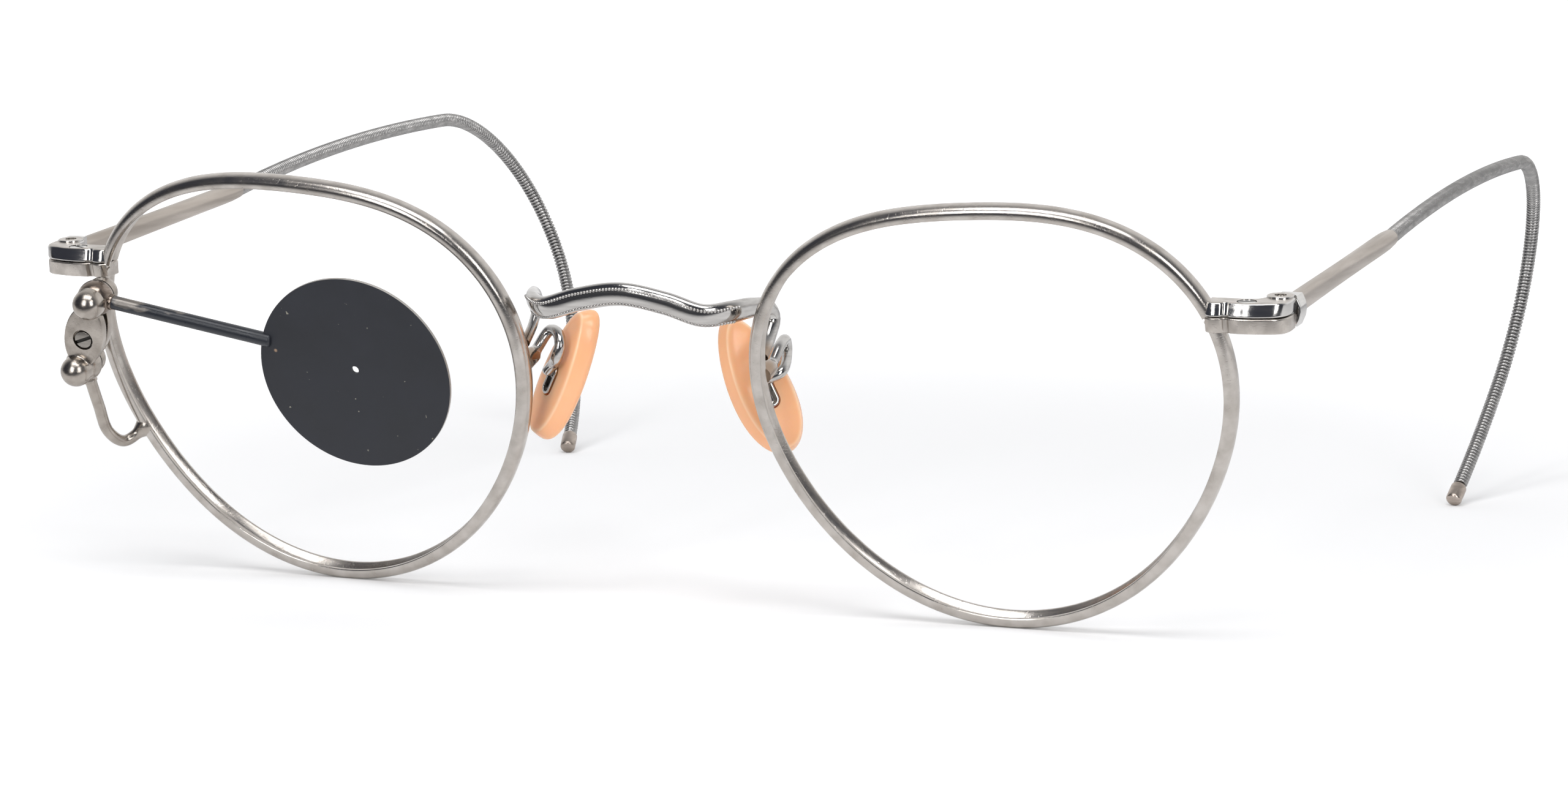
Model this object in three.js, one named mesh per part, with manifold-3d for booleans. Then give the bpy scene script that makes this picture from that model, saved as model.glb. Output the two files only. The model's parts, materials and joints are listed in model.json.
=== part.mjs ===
// Shooting glasses: an empty white-metal spectacle frame with a double-ball clamp on its right eyewire
// that carries a pinhole disc. Millimetres, +Z up, +X to the wearer's left, +Y towards the ears.
import * as THREE from 'three';
import { mergeVertices } from 'three/addons/utils/BufferGeometryUtils.js';
import manifold from 'manifold-3d';

const kernel = await manifold();
kernel.setup();

// Eyewires. The centre line is a circle with three small swellings.
const EYE_RADIUS = 22.0; // mean radius of the wire's centre line
const EYE_OVAL = 0.72; // wider than tall
const EYE_LEAN = 0.25; // long axis turned up at the temple
const EYE_PEAR = 1.04; // broad at the brow, narrow at the cheek
const EYE_SIDE = -0.14; // fuller on the nose side
const EYE_SQUARE = -0.18; // slightly flattened quarters
const EYE_CENTRES = 69.7; // between the centres of the two eyewires
const RIM_THICK = 1.3; // across the wire, in the plane of the lens
const RIM_DEPTH = 2.0; // front to back
const GROOVE_WIDTH = 1.2; // mouth of the lens groove
const GROOVE_DEEP = 0.5;
const RIM_SPLIT = 0.3; // gap between the wire's ends at the endpiece
const FACE_WRAP = THREE.MathUtils.degToRad(1.6); // outer edge of each eyewire stands back
const FRONT_TILT = THREE.MathUtils.degToRad(18.4); // lean of the front on the table

// Clearances
const SOLDER_GAP = 0.06; // between soldered or seated pieces
const RUN_GAP = 0.08; // between pieces that turn

// Bridge
const BRIDGE_RISE = 11.15; // middle of the bridge above the eye centres
const BRIDGE_FORWARD = 2.5; // in front of the eyewires
const BRIDGE_TALL = 2.35;
const BRIDGE_THICK = 1.5;
const STRAP_TALL = 1.3; // strap at the soldered end
const STRAP_THICK = 0.9;
const STRAP_START = 0.5; // share of the half bridge where the bar starts to narrow
const STRAP_FULL = 0.88;
const STRAP_FOOT = 3.9; // height of the strap's foot on the eyewire
const SHOULDER_DROP = 0.75; // bends of the bar below its middle, from the middle outward
const HIP_DROP = 1.9;
const CURL_DROP = 2.3;
const NECK_DROP = 2.95;
const HEEL_DROP = 3.8;
const HIP_BACK = 0.2; // the same bends behind the bar's middle
const CURL_BACK = 2.0;
const NECK_BACK = 1.7; // bends of the strap behind the eyewire
const HEEL_BACK = 3.7;
const STRAP_BACK = 4.2;
const ANKLE_BACK = 2.7;
const CURL_IN = 2.3; // bends of the strap inside the eyewire's nasal side
const NECK_IN = 1.1;
const HEEL_IN = 0.3;
const STRAP_RISE = 2.1; // bends of the strap above its foot
const ANKLE_RISE = 0.9;

// Endpieces and hinges, seen from the hinge pin
const HINGE_OUT = 4.95; // pin outside the eyewire's mean circle
const HINGE_Y = 3.4; // pin behind the front
const HINGE_Z = 9.85; // split level at the pin, above the eye centres
const PANTOSCOPIC = THREE.MathUtils.degToRad(13.2); // front against the temples
const END_UPPER = 1.35; // height of the upper half
const END_LOWER = 1.5; // height of the lower half
const END_SPLIT = 0.1; // gap between the halves
const END_FRONT = 4.1; // front face, ahead of the pin
const END_BACK = 1.5; // back face of the block, ahead of the pin
const LUG_RADIUS = 1.3;
const BOSS_RAISE = 0.12;
const TONGUE_RADIUS = 1.15;
const TONGUE_THICK = 1.0;
const PIN_RADIUS = 0.5;
const CLOSING_HEAD = 0.85; // radius of the closing screw's head
const CLOSING_SHANK = 0.5;
const SLOT_WIDTH = 0.3; // screwdriver slots
const SLOT_DEEP = 0.25;

// Temples
const BUTT_OUT = 1.8; // point of the butt, outside the pin
const BUTT_LONG = 2.4;
const SHAFT_OFFSET = 0.25; // middle of the shaft, outside the pin
const SHAFT_LONG = 36.0; // pin to the cable
const SHAFT_TALL = 2.2; // at the butt
const SHAFT_THICK = 1.2;
const SHAFT_END = 1.9; // round end that takes the cable
const CABLE_RADIUS = 0.78;
const CORE_RADIUS = 0.5; // cable core set into the shaft and the tip
const CORE_LONG = 3.0;
const EAR_START = 88.0; // pin to the start of the ear bend
const EAR_RADIUS = 16.4;
const EAR_TURN = THREE.MathUtils.degToRad(112.5);
const HOOK_RADIUS = 50.0; // easy curve below the ear
const TIP_RADIUS = 0.88;
const TIP_LONG = 1.6;
const LEFT_SPLAY = THREE.MathUtils.degToRad(2.5); // temple opened beyond square
const RIGHT_SPLAY = THREE.MathUtils.degToRad(0.0);
const LEFT_ROLL = THREE.MathUtils.degToRad(9.8); // hook turned in towards the head
const RIGHT_ROLL = THREE.MathUtils.degToRad(20.7);

// Nose pads
const PAD_LONG = 14.4;
const PAD_WIDE = 6.3;
const PAD_THICK = 2.4;
const PAD_EGG = 0.19; // narrower towards the top
const PAD_FLARE = 0.49; // sideways lean, per unit of rise
const PAD_RAKE = 0.23; // backward lean, per unit of rise
const PAD_SPLAY = THREE.MathUtils.degToRad(46.5); // back edges spread
const PAD_BACK = 3.99; // rivet behind the front
const PAD_DROP = 1.61; // rivet below the eye centres
const PAD_INSET = 1.61; // rivet inside the eyewire's nasal side
const PAD_UP = 0.9; // middle of the pad above the rivet
const PAD_FORE = 0.1; // middle of the pad in front of the rivet
const PAD_POCKET = 1.4; // depth of the pocket in the pad's back
const PAD_FLOAT = 0.28; // pocket to box, so that the pad can rock
const BOX_LONG = 3.1;
const BOX_WIDE = 1.4;
const BOX_DEEP = 1.3;
const BOX_WALL = 0.25;
const RIVET_NECK = 0.2;
const RIVET_HEAD = 0.36;
const RIVET_DEEP = 0.6; // shank set into the pad
const ARM_WIRE = 0.55; // radius of the pad arm's wire
const ARM_FOOT = 0.85; // radius of its solder foot
const ARM_FOOT_RISE = 2.1; // height of the foot on the eyewire
const ARM_FOOT_LONG = 2.3;
const ARM_REACH = 6.8; // furthest back
const ARM_RISE = 3.0; // highest
const RIGHT_ARM_OFF = 2.3; // right arm's loop, off the rivet
const RIGHT_ARM_UP = 4.9; // highest, above the rivet

// Double-ball clamp, in front of the right eyewire
const BALL_RADIUS = 1.8;
const BALL_SPACING = 7.85;
const CLAMP_OUT = 1.05; // lower ball outside the eyewire
const CLAMP_RISE = 1.55; // lower ball above the eye centre
const CLAMP_FORWARD = 4.5; // balls ahead of the front
const CLAMP_LEAN = THREE.MathUtils.degToRad(20.7);
const PLATE_GAP = 0.9;
const PLATE_THICK = 0.9;
const FRONT_PLATE = 4.1; // width
const REAR_PLATE = 3.5;
const PLATE_LONG = 7.0; // flat middle of the plates
const CUP_RADIUS = 1.55;
const FRONT_CUP = 1.55; // centre of the cup's dome from the middle plane
const REAR_CUP = 1.35;
const CLAMP_HEAD = 0.95;
const CLAMP_SHANK = 0.6;
const COUNTERBORE = 0.2; // clear ring round the head
const BRACKET_WIRE = 0.58; // radius
const BRACKET_ANGLE = THREE.MathUtils.degToRad(-20); // solder point on the eyewire
const BRACKET_DROP = 9.9; // bottom of the wire below the lower ball

// Aperture arm and disc
const APERTURE_DROP = THREE.MathUtils.degToRad(11); // fall of the arm
const APERTURE_REACH = 27.85; // upper ball to the disc's centre, along the arm
const APERTURE_BELOW = 1.25; // disc centre under the arm's line
const APERTURE_ARM = 0.69; // radius of the arm
const DISC_RADIUS = 9.97;
const DISC_THICK = 0.35;
const PINHOLE_RADIUS = 0.4;
const PINHOLE_UP = 0.35; // above the disc's centre
const SLOT_BITE = 1.0; // disc in the arm's slot

const nickel = new THREE.MeshStandardMaterial({ color: 0xb9b4ac, metalness: 1, roughness: 0.25 });
const cableMetal = new THREE.MeshStandardMaterial({ color: 0x8f8b86, metalness: 1, roughness: 0.4 });
const darkMetal = new THREE.MeshStandardMaterial({ color: 0x5a4f47, metalness: 1, roughness: 0.35 });
const black = new THREE.MeshStandardMaterial({ color: 0x1c1e22, roughness: 0.7 });
const peach = new THREE.MeshStandardMaterial({ color: 0xe0a98a, roughness: 0.2 });

const UP = new THREE.Vector3(0, 0, 1);

// Turns any closed geometry into a solid with its faces outward.
function solid(geometry) {
  const bare = new THREE.BufferGeometry();
  bare.setAttribute('position', geometry.getAttribute('position'));
  bare.setIndex(geometry.index);
  const welded = mergeVertices(bare, 1e-4);
  const spots = welded.getAttribute('position');
  const corner = [new THREE.Vector3(), new THREE.Vector3(), new THREE.Vector3()];
  const triangles = [];
  let volume = 0;
  for (let i = 0; i < welded.index.count; i += 3) {
    const ids = [0, 1, 2].map((k) => welded.index.getX(i + k));
    if (new Set(ids).size === 3) {
      ids.forEach((id, k) => corner[k].fromBufferAttribute(spots, id));
      volume += corner[0].dot(corner[1].clone().cross(corner[2]));
      triangles.push(ids);
    }
  }
  const turned = volume < 0 ? triangles.map(([a, b, c]) => [a, c, b]) : triangles;
  return new kernel.Manifold(new kernel.Mesh({
    numProp: 3,
    vertProperties: Float32Array.from(spots.array),
    triVerts: Uint32Array.from(turned.flat()),
  }));
}

function geometryOf(body) {
  const mesh = body.getMesh();
  const geometry = new THREE.BufferGeometry();
  geometry.setAttribute('position', new THREE.BufferAttribute(mesh.vertProperties, 3));
  geometry.setIndex(new THREE.BufferAttribute(mesh.triVerts, 1));
  geometry.computeVertexNormals();
  return geometry;
}

function union(...bodies) {
  return bodies.reduce((sum, next) => sum.add(next));
}

function without(body, ...cutters) {
  return cutters.reduce((rest, next) => rest.subtract(next), body);
}

// Skin through a row of rings that have the same number of points, closed by a cap at both ends.
function skin(rings, outline) {
  const count = outline.length;
  const last = (rings.length - 1) * count;
  const index = [];
  for (let i = 0; i < rings.length - 1; i += 1) {
    for (let j = 0; j < count; j += 1) {
      const a = i * count + j;
      const b = i * count + (j + 1) % count;
      index.push(a, b, b + count, a, b + count, a + count);
    }
  }
  THREE.ShapeUtils.triangulateShape(outline, []).forEach(([a, b, c]) => {
    index.push(a, c, b);
    index.push(last + a, last + b, last + c);
  });
  const geometry = new THREE.BufferGeometry().setFromPoints(rings.flat());
  geometry.setIndex(index);
  return geometry;
}

// One ring of an outline laid at a point with two directions.
function ring(outline, at, across, upward) {
  return outline.map((p) => at.clone().addScaledVector(across, p.x).addScaledVector(upward, p.y));
}

// Rounded outline: power 2 is an ellipse, higher powers are squarer.
function rounded(width, height, count, power = 2) {
  const bend = (value) => Math.sign(value) * Math.abs(value) ** (2 / power);
  return Array.from({ length: count }, (_, i) => {
    const angle = (i + 0.5) / count * 2 * Math.PI;
    return new THREE.Vector2(width / 2 * bend(Math.cos(angle)), height / 2 * bend(Math.sin(angle)));
  });
}

// Round wire along a curve, with a radius that may change on the way.
function wire(curve, steps, radiusAt, sides = 8) {
  const frames = curve.computeFrenetFrames(steps);
  const rings = frames.tangents.map((_, i) => {
    const outline = rounded(2 * radiusAt(i / steps), 2 * radiusAt(i / steps), sides);
    return ring(outline, curve.getPointAt(i / steps), frames.normals[i], frames.binormals[i]);
  });
  return skin(rings, rounded(1, 1, sides));
}

// Turned piece about +Z from [radius, height] pairs that start and end on the axis.
function turned(profile, sides = 16) {
  const points = profile.map(([radius, height]) => new THREE.Vector2(radius, height));
  return new THREE.LatheGeometry(points, sides).rotateX(Math.PI / 2);
}

function cylinder(radius, bottom, top, x = 0, y = 0, sides = 14) {
  return solid(turned([[0, bottom], [radius, bottom], [radius, top], [0, top]], sides).translate(x, y, 0));
}

function slab(shape, bottom, top, segments = 8) {
  const settings = { depth: top - bottom, bevelEnabled: false, curveSegments: segments };
  return solid(new THREE.ExtrudeGeometry(shape, settings).translate(0, 0, bottom));
}

function block(x0, x1, y0, y1, z0, z1) {
  const box = new THREE.BoxGeometry(x1 - x0, y1 - y0, z1 - z0);
  return solid(box.translate((x0 + x1) / 2, (y0 + y1) / 2, (z0 + z1) / 2));
}

// Slotted screw about +Z with its head's top at the given height.
function screw(headRadius, headTall, shankRadius, bottom, top) {
  const body = turned([
    [0, bottom],
    [shankRadius, bottom],
    [shankRadius, top - headTall],
    [headRadius, top - headTall],
    [headRadius, top],
    [0, top],
  ]);
  const slotHalf = SLOT_WIDTH / 2;
  const slot = block(-2 * headRadius, 2 * headRadius, -slotHalf, slotHalf, top - SLOT_DEEP, top + 1);
  return without(solid(body), slot);
}

function mirrored(geometry) {
  return geometryOf(solid(geometry.clone().scale(-1, 1, 1)));
}

function add(parent, name, geometry, material, side = 1) {
  const mesh = new THREE.Mesh(side > 0 ? geometry : mirrored(geometry), material);
  mesh.name = name;
  parent.add(mesh);
  return mesh;
}

function holder(parent, name) {
  const group = new THREE.Group();
  group.name = name;
  parent.add(group);
  return group;
}

const glasses = new THREE.Group();
glasses.name = 'shooting_glasses';
const front = holder(glasses, 'front_frame');
front.rotation.x = FRONT_TILT;

// Eyewire of the left eye, as a point of its centre line for an angle from the temple upward.
const WRAP_BACK = new THREE.Vector3(-Math.sin(FACE_WRAP), Math.cos(FACE_WRAP), 0);

function eyeRadius(angle) {
  return EYE_RADIUS + EYE_OVAL * Math.cos(2 * angle) + EYE_LEAN * Math.sin(2 * angle)
    + EYE_PEAR * Math.sin(3 * angle) + EYE_SIDE * Math.cos(3 * angle) + EYE_SQUARE * Math.cos(4 * angle);
}

function eyePoint(angle) {
  const out = eyeRadius(angle) * Math.cos(angle);
  const x = EYE_CENTRES / 2 + out * Math.cos(FACE_WRAP);
  return new THREE.Vector3(x, out * Math.sin(FACE_WRAP), eyeRadius(angle) * Math.sin(angle));
}

function angleAtHeight(height) {
  let angle = 0;
  for (let i = 0; i < 30; i += 1) {
    angle = Math.asin(height / eyeRadius(angle));
  }
  return angle;
}

// Eyewire section: x outward from the eye, y to the back. The groove is on the inner side.
function rimOutline(margin, grooved) {
  const arc = Array.from({ length: 7 }, (_, i) => {
    const turn = (i / 6 - 0.5) * Math.PI;
    const outward = (0.55 * RIM_THICK + margin) * Math.cos(turn);
    return new THREE.Vector2(outward, (RIM_DEPTH / 2 + margin) * Math.sin(turn));
  });
  const inner = -0.45 * RIM_THICK - margin;
  const groove = [
    new THREE.Vector2(inner, GROOVE_WIDTH / 2),
    new THREE.Vector2(inner + GROOVE_DEEP, 0),
    new THREE.Vector2(inner, -GROOVE_WIDTH / 2),
  ];
  const back = new THREE.Vector2(inner, RIM_DEPTH / 2 + margin);
  const fore = new THREE.Vector2(inner, -RIM_DEPTH / 2 - margin);
  return [...arc, back, ...(grooved ? groove : []), fore];
}

function eyewire(outline, from, to, steps) {
  const rings = Array.from({ length: steps + 1 }, (_, i) => {
    const angle = from + (to - from) * i / steps;
    const along = eyePoint(angle + 0.01).sub(eyePoint(angle - 0.01)).normalize();
    const outward = along.clone().cross(WRAP_BACK).negate();
    outward.multiplyScalar(Math.sign(outward.dot(eyePoint(angle).sub(eyePoint(angle + Math.PI)))));
    return ring(outline, eyePoint(angle), outward, WRAP_BACK);
  });
  return skin(rings, outline);
}

const splitHeight = HINGE_Z + HINGE_Y * Math.tan(PANTOSCOPIC);
const splitAngle = angleAtHeight(splitHeight - 0.6 * Math.tan(PANTOSCOPIC));
const splitTurn = RIM_SPLIT / 2 / EYE_RADIUS;
const hingeX = EYE_CENTRES / 2 + EYE_RADIUS + HINGE_OUT;
const rim = eyewire(rimOutline(0, true), splitAngle + splitTurn, splitAngle + 2 * Math.PI - splitTurn, 60);
const rimCutter = eyewire(rimOutline(SOLDER_GAP, false), splitAngle - 0.25, splitAngle + 0.25, 16);
const bracketCutter = eyewire(rimOutline(SOLDER_GAP, false), BRACKET_ANGLE - 0.2, BRACKET_ANGLE + 0.2, 12);
const nasalX = EYE_CENTRES / 2 - eyeRadius(Math.PI) * Math.cos(FACE_WRAP);
const nasalY = -eyeRadius(Math.PI) * Math.sin(FACE_WRAP);
const nasalBack = nasalY + RIM_DEPTH / 2 + SOLDER_GAP;
const rimSolid = geometryOf(solid(rim));
add(front, 'rim_left', rimSolid, nickel);
add(front, 'rim_right', rimSolid, nickel, -1);

// Stand the eyewires on the table.
front.updateMatrixWorld(true);
front.position.z = -new THREE.Box3().setFromObject(front, true).min.z;
front.updateMatrixWorld(true);

// Bridge: one smooth line from foot to foot. One half is laid out from the middle, then mirrored.
const bridgeBends = [
  new THREE.Vector3(0, -BRIDGE_FORWARD, BRIDGE_RISE),
  new THREE.Vector3(0.365 * nasalX, -BRIDGE_FORWARD, BRIDGE_RISE - SHOULDER_DROP),
  new THREE.Vector3(0.65 * nasalX, -BRIDGE_FORWARD + HIP_BACK, BRIDGE_RISE - HIP_DROP),
  new THREE.Vector3(nasalX - CURL_IN, -BRIDGE_FORWARD + CURL_BACK, BRIDGE_RISE - CURL_DROP),
  new THREE.Vector3(nasalX - NECK_IN, nasalBack + NECK_BACK, BRIDGE_RISE - NECK_DROP),
  new THREE.Vector3(nasalX - HEEL_IN, nasalBack + HEEL_BACK, BRIDGE_RISE - HEEL_DROP),
  new THREE.Vector3(nasalX, nasalBack + STRAP_BACK, STRAP_FOOT + STRAP_RISE),
  new THREE.Vector3(nasalX, nasalBack + ANKLE_BACK, STRAP_FOOT + ANKLE_RISE),
  new THREE.Vector3(nasalX, nasalBack + STRAP_THICK / 2, STRAP_FOOT),
];
const acrossFace = new THREE.Vector3(-1, 1, 1);
const otherSide = (row) => row.map((p) => p.clone().multiply(acrossFace));
const rightBends = otherSide(bridgeBends.slice(1)).reverse();
const bridgeLine = new THREE.CatmullRomCurve3([...rightBends, ...bridgeBends]);
const BRIDGE_STEPS = 20;
const bridgeBack = new THREE.Vector3(0, 1, 0);
const bridgeHalf = Array.from({ length: BRIDGE_STEPS + 1 }, (_, i) => {
  const t = i / BRIDGE_STEPS;
  const along = bridgeLine.getTangentAt(0.5 + t / 2);
  bridgeBack.addScaledVector(along, -bridgeBack.dot(along)).normalize();
  const narrow = THREE.MathUtils.smoothstep(t, STRAP_START, STRAP_FULL);
  const tall = THREE.MathUtils.lerp(BRIDGE_TALL, STRAP_TALL, narrow);
  const thick = THREE.MathUtils.lerp(BRIDGE_THICK, STRAP_THICK, narrow);
  const outline = rounded(thick, tall, 12, 2.4);
  return ring(outline, bridgeLine.getPointAt(0.5 + t / 2), bridgeBack.clone(), along.cross(bridgeBack));
});
const bridgeMirror = bridgeHalf.slice(1).reverse().map(otherSide);
const bridge = solid(skin([...bridgeMirror, ...bridgeHalf], rounded(1, 1, 12)));
add(front, 'bridge', geometryOf(bridge), nickel);

// Endpiece plan about the hinge pin: x outward, y to the back.
const endInner = eyePoint(splitAngle).x - hingeX;
const endPlan = new THREE.Shape();
endPlan.moveTo(endInner, -END_FRONT);
endPlan.lineTo(endInner + 1.3, -END_FRONT - 0.05);
endPlan.quadraticCurveTo(endInner + 1.6, -END_FRONT + 0.35, endInner + 1.9, -END_FRONT);
endPlan.lineTo(-1.6, -END_FRONT);
endPlan.quadraticCurveTo(LUG_RADIUS, -END_FRONT, LUG_RADIUS + 0.1, -1.4);
endPlan.lineTo(LUG_RADIUS + 0.1, 0);
endPlan.lineTo(LUG_RADIUS, 0);
endPlan.absarc(0, 0, LUG_RADIUS, 0, 1.1 * Math.PI, false);
endPlan.quadraticCurveTo(-1.9, -END_BACK, -2.8, -END_BACK);
endPlan.lineTo(endInner, -END_BACK);
endPlan.closePath();
const bossPlan = new THREE.Shape().absarc(0, 0, LUG_RADIUS - 0.05, 0, 2 * Math.PI);
const closingX = -2.4;
const closingY = -(END_FRONT + END_BACK) / 2;
const hingeFrame = new THREE.Matrix4().makeRotationX(-PANTOSCOPIC).setPosition(hingeX, HINGE_Y, HINGE_Z);
const rimSaddle = solid(rimCutter.applyMatrix4(hingeFrame.clone().invert()));
const slotTop = TONGUE_THICK / 2 + RUN_GAP;
const tongueSlot = cylinder(LUG_RADIUS + 0.1, -slotTop, slotTop, 0, 0, 24);
const pinHole = cylinder(PIN_RADIUS + 0.05, -5, 5);
const upperTop = END_UPPER + BOSS_RAISE;
const lowerBottom = -END_LOWER;
const closingHeadTall = 0.5;
const closingHole = union(
  cylinder(CLOSING_SHANK + 0.05, -5, 5, closingX, closingY),
  cylinder(CLOSING_HEAD + 0.06, END_UPPER - closingHeadTall - 0.05, 5, closingX, closingY),
);
const endUpper = without(
  union(slab(endPlan, END_SPLIT / 2, END_UPPER), slab(bossPlan, END_UPPER - 0.3, upperTop)),
  rimSaddle,
  tongueSlot,
  pinHole,
  closingHole,
);
const headRoom = cylinder(PIN_RADIUS + 0.36, lowerBottom - 1, lowerBottom + 0.4);
const endLower = without(
  slab(endPlan, lowerBottom, -END_SPLIT / 2),
  rimSaddle,
  tongueSlot,
  pinHole,
  closingHole,
  headRoom,
);
const hingeScrew = solid(screwFromBelow());
const closingScrew = screw(CLOSING_HEAD, closingHeadTall, CLOSING_SHANK, lowerBottom + 0.1, END_UPPER);

// The hinge screw comes from below. Its end stays under the boss's rim.
function screwFromBelow() {
  return turned([
    [0, lowerBottom],
    [PIN_RADIUS + 0.3, lowerBottom],
    [PIN_RADIUS + 0.3, lowerBottom + 0.35],
    [PIN_RADIUS, lowerBottom + 0.35],
    [PIN_RADIUS, END_UPPER - 0.1],
    [0, END_UPPER - 0.1],
  ]);
}

// Temple shaft: tongue, pointed butt and flat tapering bar with a bore for the cable's core.
const buttClear = LUG_RADIUS + 0.12;
const buttFace = new THREE.Shape([
  new THREE.Vector2(-0.5, -END_LOWER),
  new THREE.Vector2(BUTT_OUT - 0.45, -END_LOWER),
  new THREE.Vector2(BUTT_OUT, -0.05),
  new THREE.Vector2(BUTT_OUT - 0.45, END_UPPER),
  new THREE.Vector2(-0.5, END_UPPER),
]);
const buttBar = new THREE.ExtrudeGeometry(buttFace, { depth: BUTT_LONG - 0.3, bevelEnabled: false });
const butt = without(
  solid(buttBar.rotateX(Math.PI / 2).translate(0, BUTT_LONG, 0)),
  cylinder(buttClear, -5, 5, 0, 0, 24),
);
const tongueBar = block(-0.6, 0.8, 0, BUTT_LONG - 0.4, -TONGUE_THICK / 2, TONGUE_THICK / 2);
const tongueEye = cylinder(TONGUE_RADIUS, -TONGUE_THICK / 2, TONGUE_THICK / 2, 0, 0, 24);
const shaftRings = [0, 0.12, 0.4, 0.75, 0.93, 1].map((t) => {
  const tall = THREE.MathUtils.lerp(SHAFT_TALL, SHAFT_END, t);
  const thick = THREE.MathUtils.lerp(SHAFT_THICK, SHAFT_END, THREE.MathUtils.smoothstep(t, 0.4, 1));
  const at = new THREE.Vector3(SHAFT_OFFSET, THREE.MathUtils.lerp(BUTT_LONG - 0.5, SHAFT_LONG, t), 0);
  return ring(rounded(thick, tall, 14, 2.8 - 0.8 * t), at, new THREE.Vector3(1, 0, 0), UP);
});
const shaftBar = solid(skin(shaftRings, rounded(1, 1, 14)));
const coreBore = turned([
  [0, 0],
  [CORE_RADIUS + 0.06, 0],
  [CORE_RADIUS + 0.06, CORE_LONG + 1],
  [0, CORE_LONG + 1],
], 12);
const boreStart = SHAFT_LONG - CORE_LONG - 0.1;
const shaftBore = solid(coreBore.rotateX(-Math.PI / 2).translate(SHAFT_OFFSET, boreStart, 0));
const shaft = without(
  union(butt, tongueBar, tongueEye, shaftBar),
  cylinder(PIN_RADIUS + RUN_GAP, -5, 5, 0, 0, 24),
  shaftBore,
);

// Cable line: distance along it gives how far back, how far down and which way it heads.
const earLength = EAR_RADIUS * EAR_TURN;

function cableAt(distance) {
  if (distance <= EAR_START) {
    return { back: distance, down: 0, turn: 0 };
  }
  const turn = Math.min((distance - EAR_START) / EAR_RADIUS, EAR_TURN);
  const back = EAR_START + EAR_RADIUS * Math.sin(turn);
  const down = EAR_RADIUS * (1 - Math.cos(turn));
  const rest = Math.max(distance - EAR_START - earLength, 0) / HOOK_RADIUS;
  return {
    back: back + HOOK_RADIUS * (Math.sin(turn + rest) - Math.sin(turn)),
    down: down + HOOK_RADIUS * (Math.cos(turn) - Math.cos(turn + rest)),
    turn: turn + rest,
  };
}

function cableFrame(distance, roll) {
  const { back, down, turn } = cableAt(distance);
  const lower = new THREE.Vector3(-Math.sin(roll), 0, -Math.cos(roll));
  const at = new THREE.Vector3(SHAFT_OFFSET, back, 0).addScaledVector(lower, down);
  const ahead = new THREE.Vector3(0, Math.cos(turn), 0).addScaledVector(lower, Math.sin(turn));
  const side = new THREE.Vector3(0, 1, 0).cross(lower).normalize();
  return { at, ahead, side, normal: side.clone().cross(ahead) };
}

// Distance along the cable where the tip's round end meets the table.
function cableEnd(frame, roll) {
  let near = EAR_START + earLength;
  let far = near + HOOK_RADIUS;
  for (let i = 0; i < 40; i += 1) {
    const middle = (near + far) / 2;
    if (cableFrame(middle, roll).at.applyMatrix4(frame).z > TIP_RADIUS) {
      near = middle;
    } else {
      far = middle;
    }
  }
  return near;
}

function cable(end, roll) {
  const shoulder = end - TIP_LONG;
  const straight = [SHAFT_LONG + 0.05, 48, 60, 72, 81];
  const curved = Array.from({ length: 21 }, (_, i) => EAR_START + (shoulder - EAR_START) * i / 20);
  const stops = [
    [SHAFT_LONG - CORE_LONG, CORE_RADIUS],
    [SHAFT_LONG + 0.05, CORE_RADIUS],
    ...straight.map((distance) => [distance, CABLE_RADIUS]),
    ...curved.map((distance) => [distance, CABLE_RADIUS]),
    [shoulder, CORE_RADIUS],
    [end - 0.5, CORE_RADIUS],
  ];
  const rings = stops.map(([distance, radius]) => {
    const { at, side, normal } = cableFrame(distance, roll);
    return ring(rounded(2 * radius, 2 * radius, 8), at, side, normal);
  });
  return geometryOf(solid(skin(rings, rounded(1, 1, 8))));
}

const cableTip = turned([
  [0, -0.35],
  [CORE_RADIUS + 0.06, -0.35],
  [CORE_RADIUS + 0.06, -TIP_LONG + 0.05],
  [TIP_RADIUS, -TIP_LONG + 0.05],
  [TIP_RADIUS, 0],
  [TIP_RADIUS * 0.87, TIP_RADIUS * 0.5],
  [TIP_RADIUS * 0.5, TIP_RADIUS * 0.87],
  [0, TIP_RADIUS],
], 14);

function temple(side, word, splay, roll) {
  const ends = holder(front, `hinge_${word}`);
  ends.position.set(side * hingeX, HINGE_Y, HINGE_Z);
  ends.rotation.x = -PANTOSCOPIC;
  add(ends, `endpiece_upper_${word}`, geometryOf(endUpper), nickel, side);
  add(ends, `endpiece_lower_${word}`, geometryOf(endLower), nickel, side);
  add(ends, `hinge_screw_${word}`, geometryOf(hingeScrew), nickel, side);
  const closing = add(ends, `closing_screw_${word}`, geometryOf(closingScrew), nickel, side);
  closing.position.set(side * closingX, closingY, 0);
  const leg = holder(ends, `temple_${word}`);
  leg.rotation.z = -side * splay;
  add(leg, `temple_shaft_${word}`, geometryOf(shaft), nickel, side);
  leg.updateWorldMatrix(true, false);
  const flip = new THREE.Matrix4().makeScale(side, 1, 1);
  const end = cableEnd(leg.matrixWorld.clone().multiply(flip), roll);
  add(leg, `temple_cable_${word}`, cable(end, roll), cableMetal, side);
  const tip = add(leg, `cable_tip_${word}`, geometryOf(solid(cableTip)), nickel);
  const { at, ahead } = cableFrame(end, roll);
  tip.position.copy(at.applyMatrix4(flip));
  tip.quaternion.setFromUnitVectors(UP, ahead.applyMatrix4(flip));
}

temple(1, 'left', LEFT_SPLAY, LEFT_ROLL);
temple(-1, 'right', RIGHT_SPLAY, RIGHT_ROLL);

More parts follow.
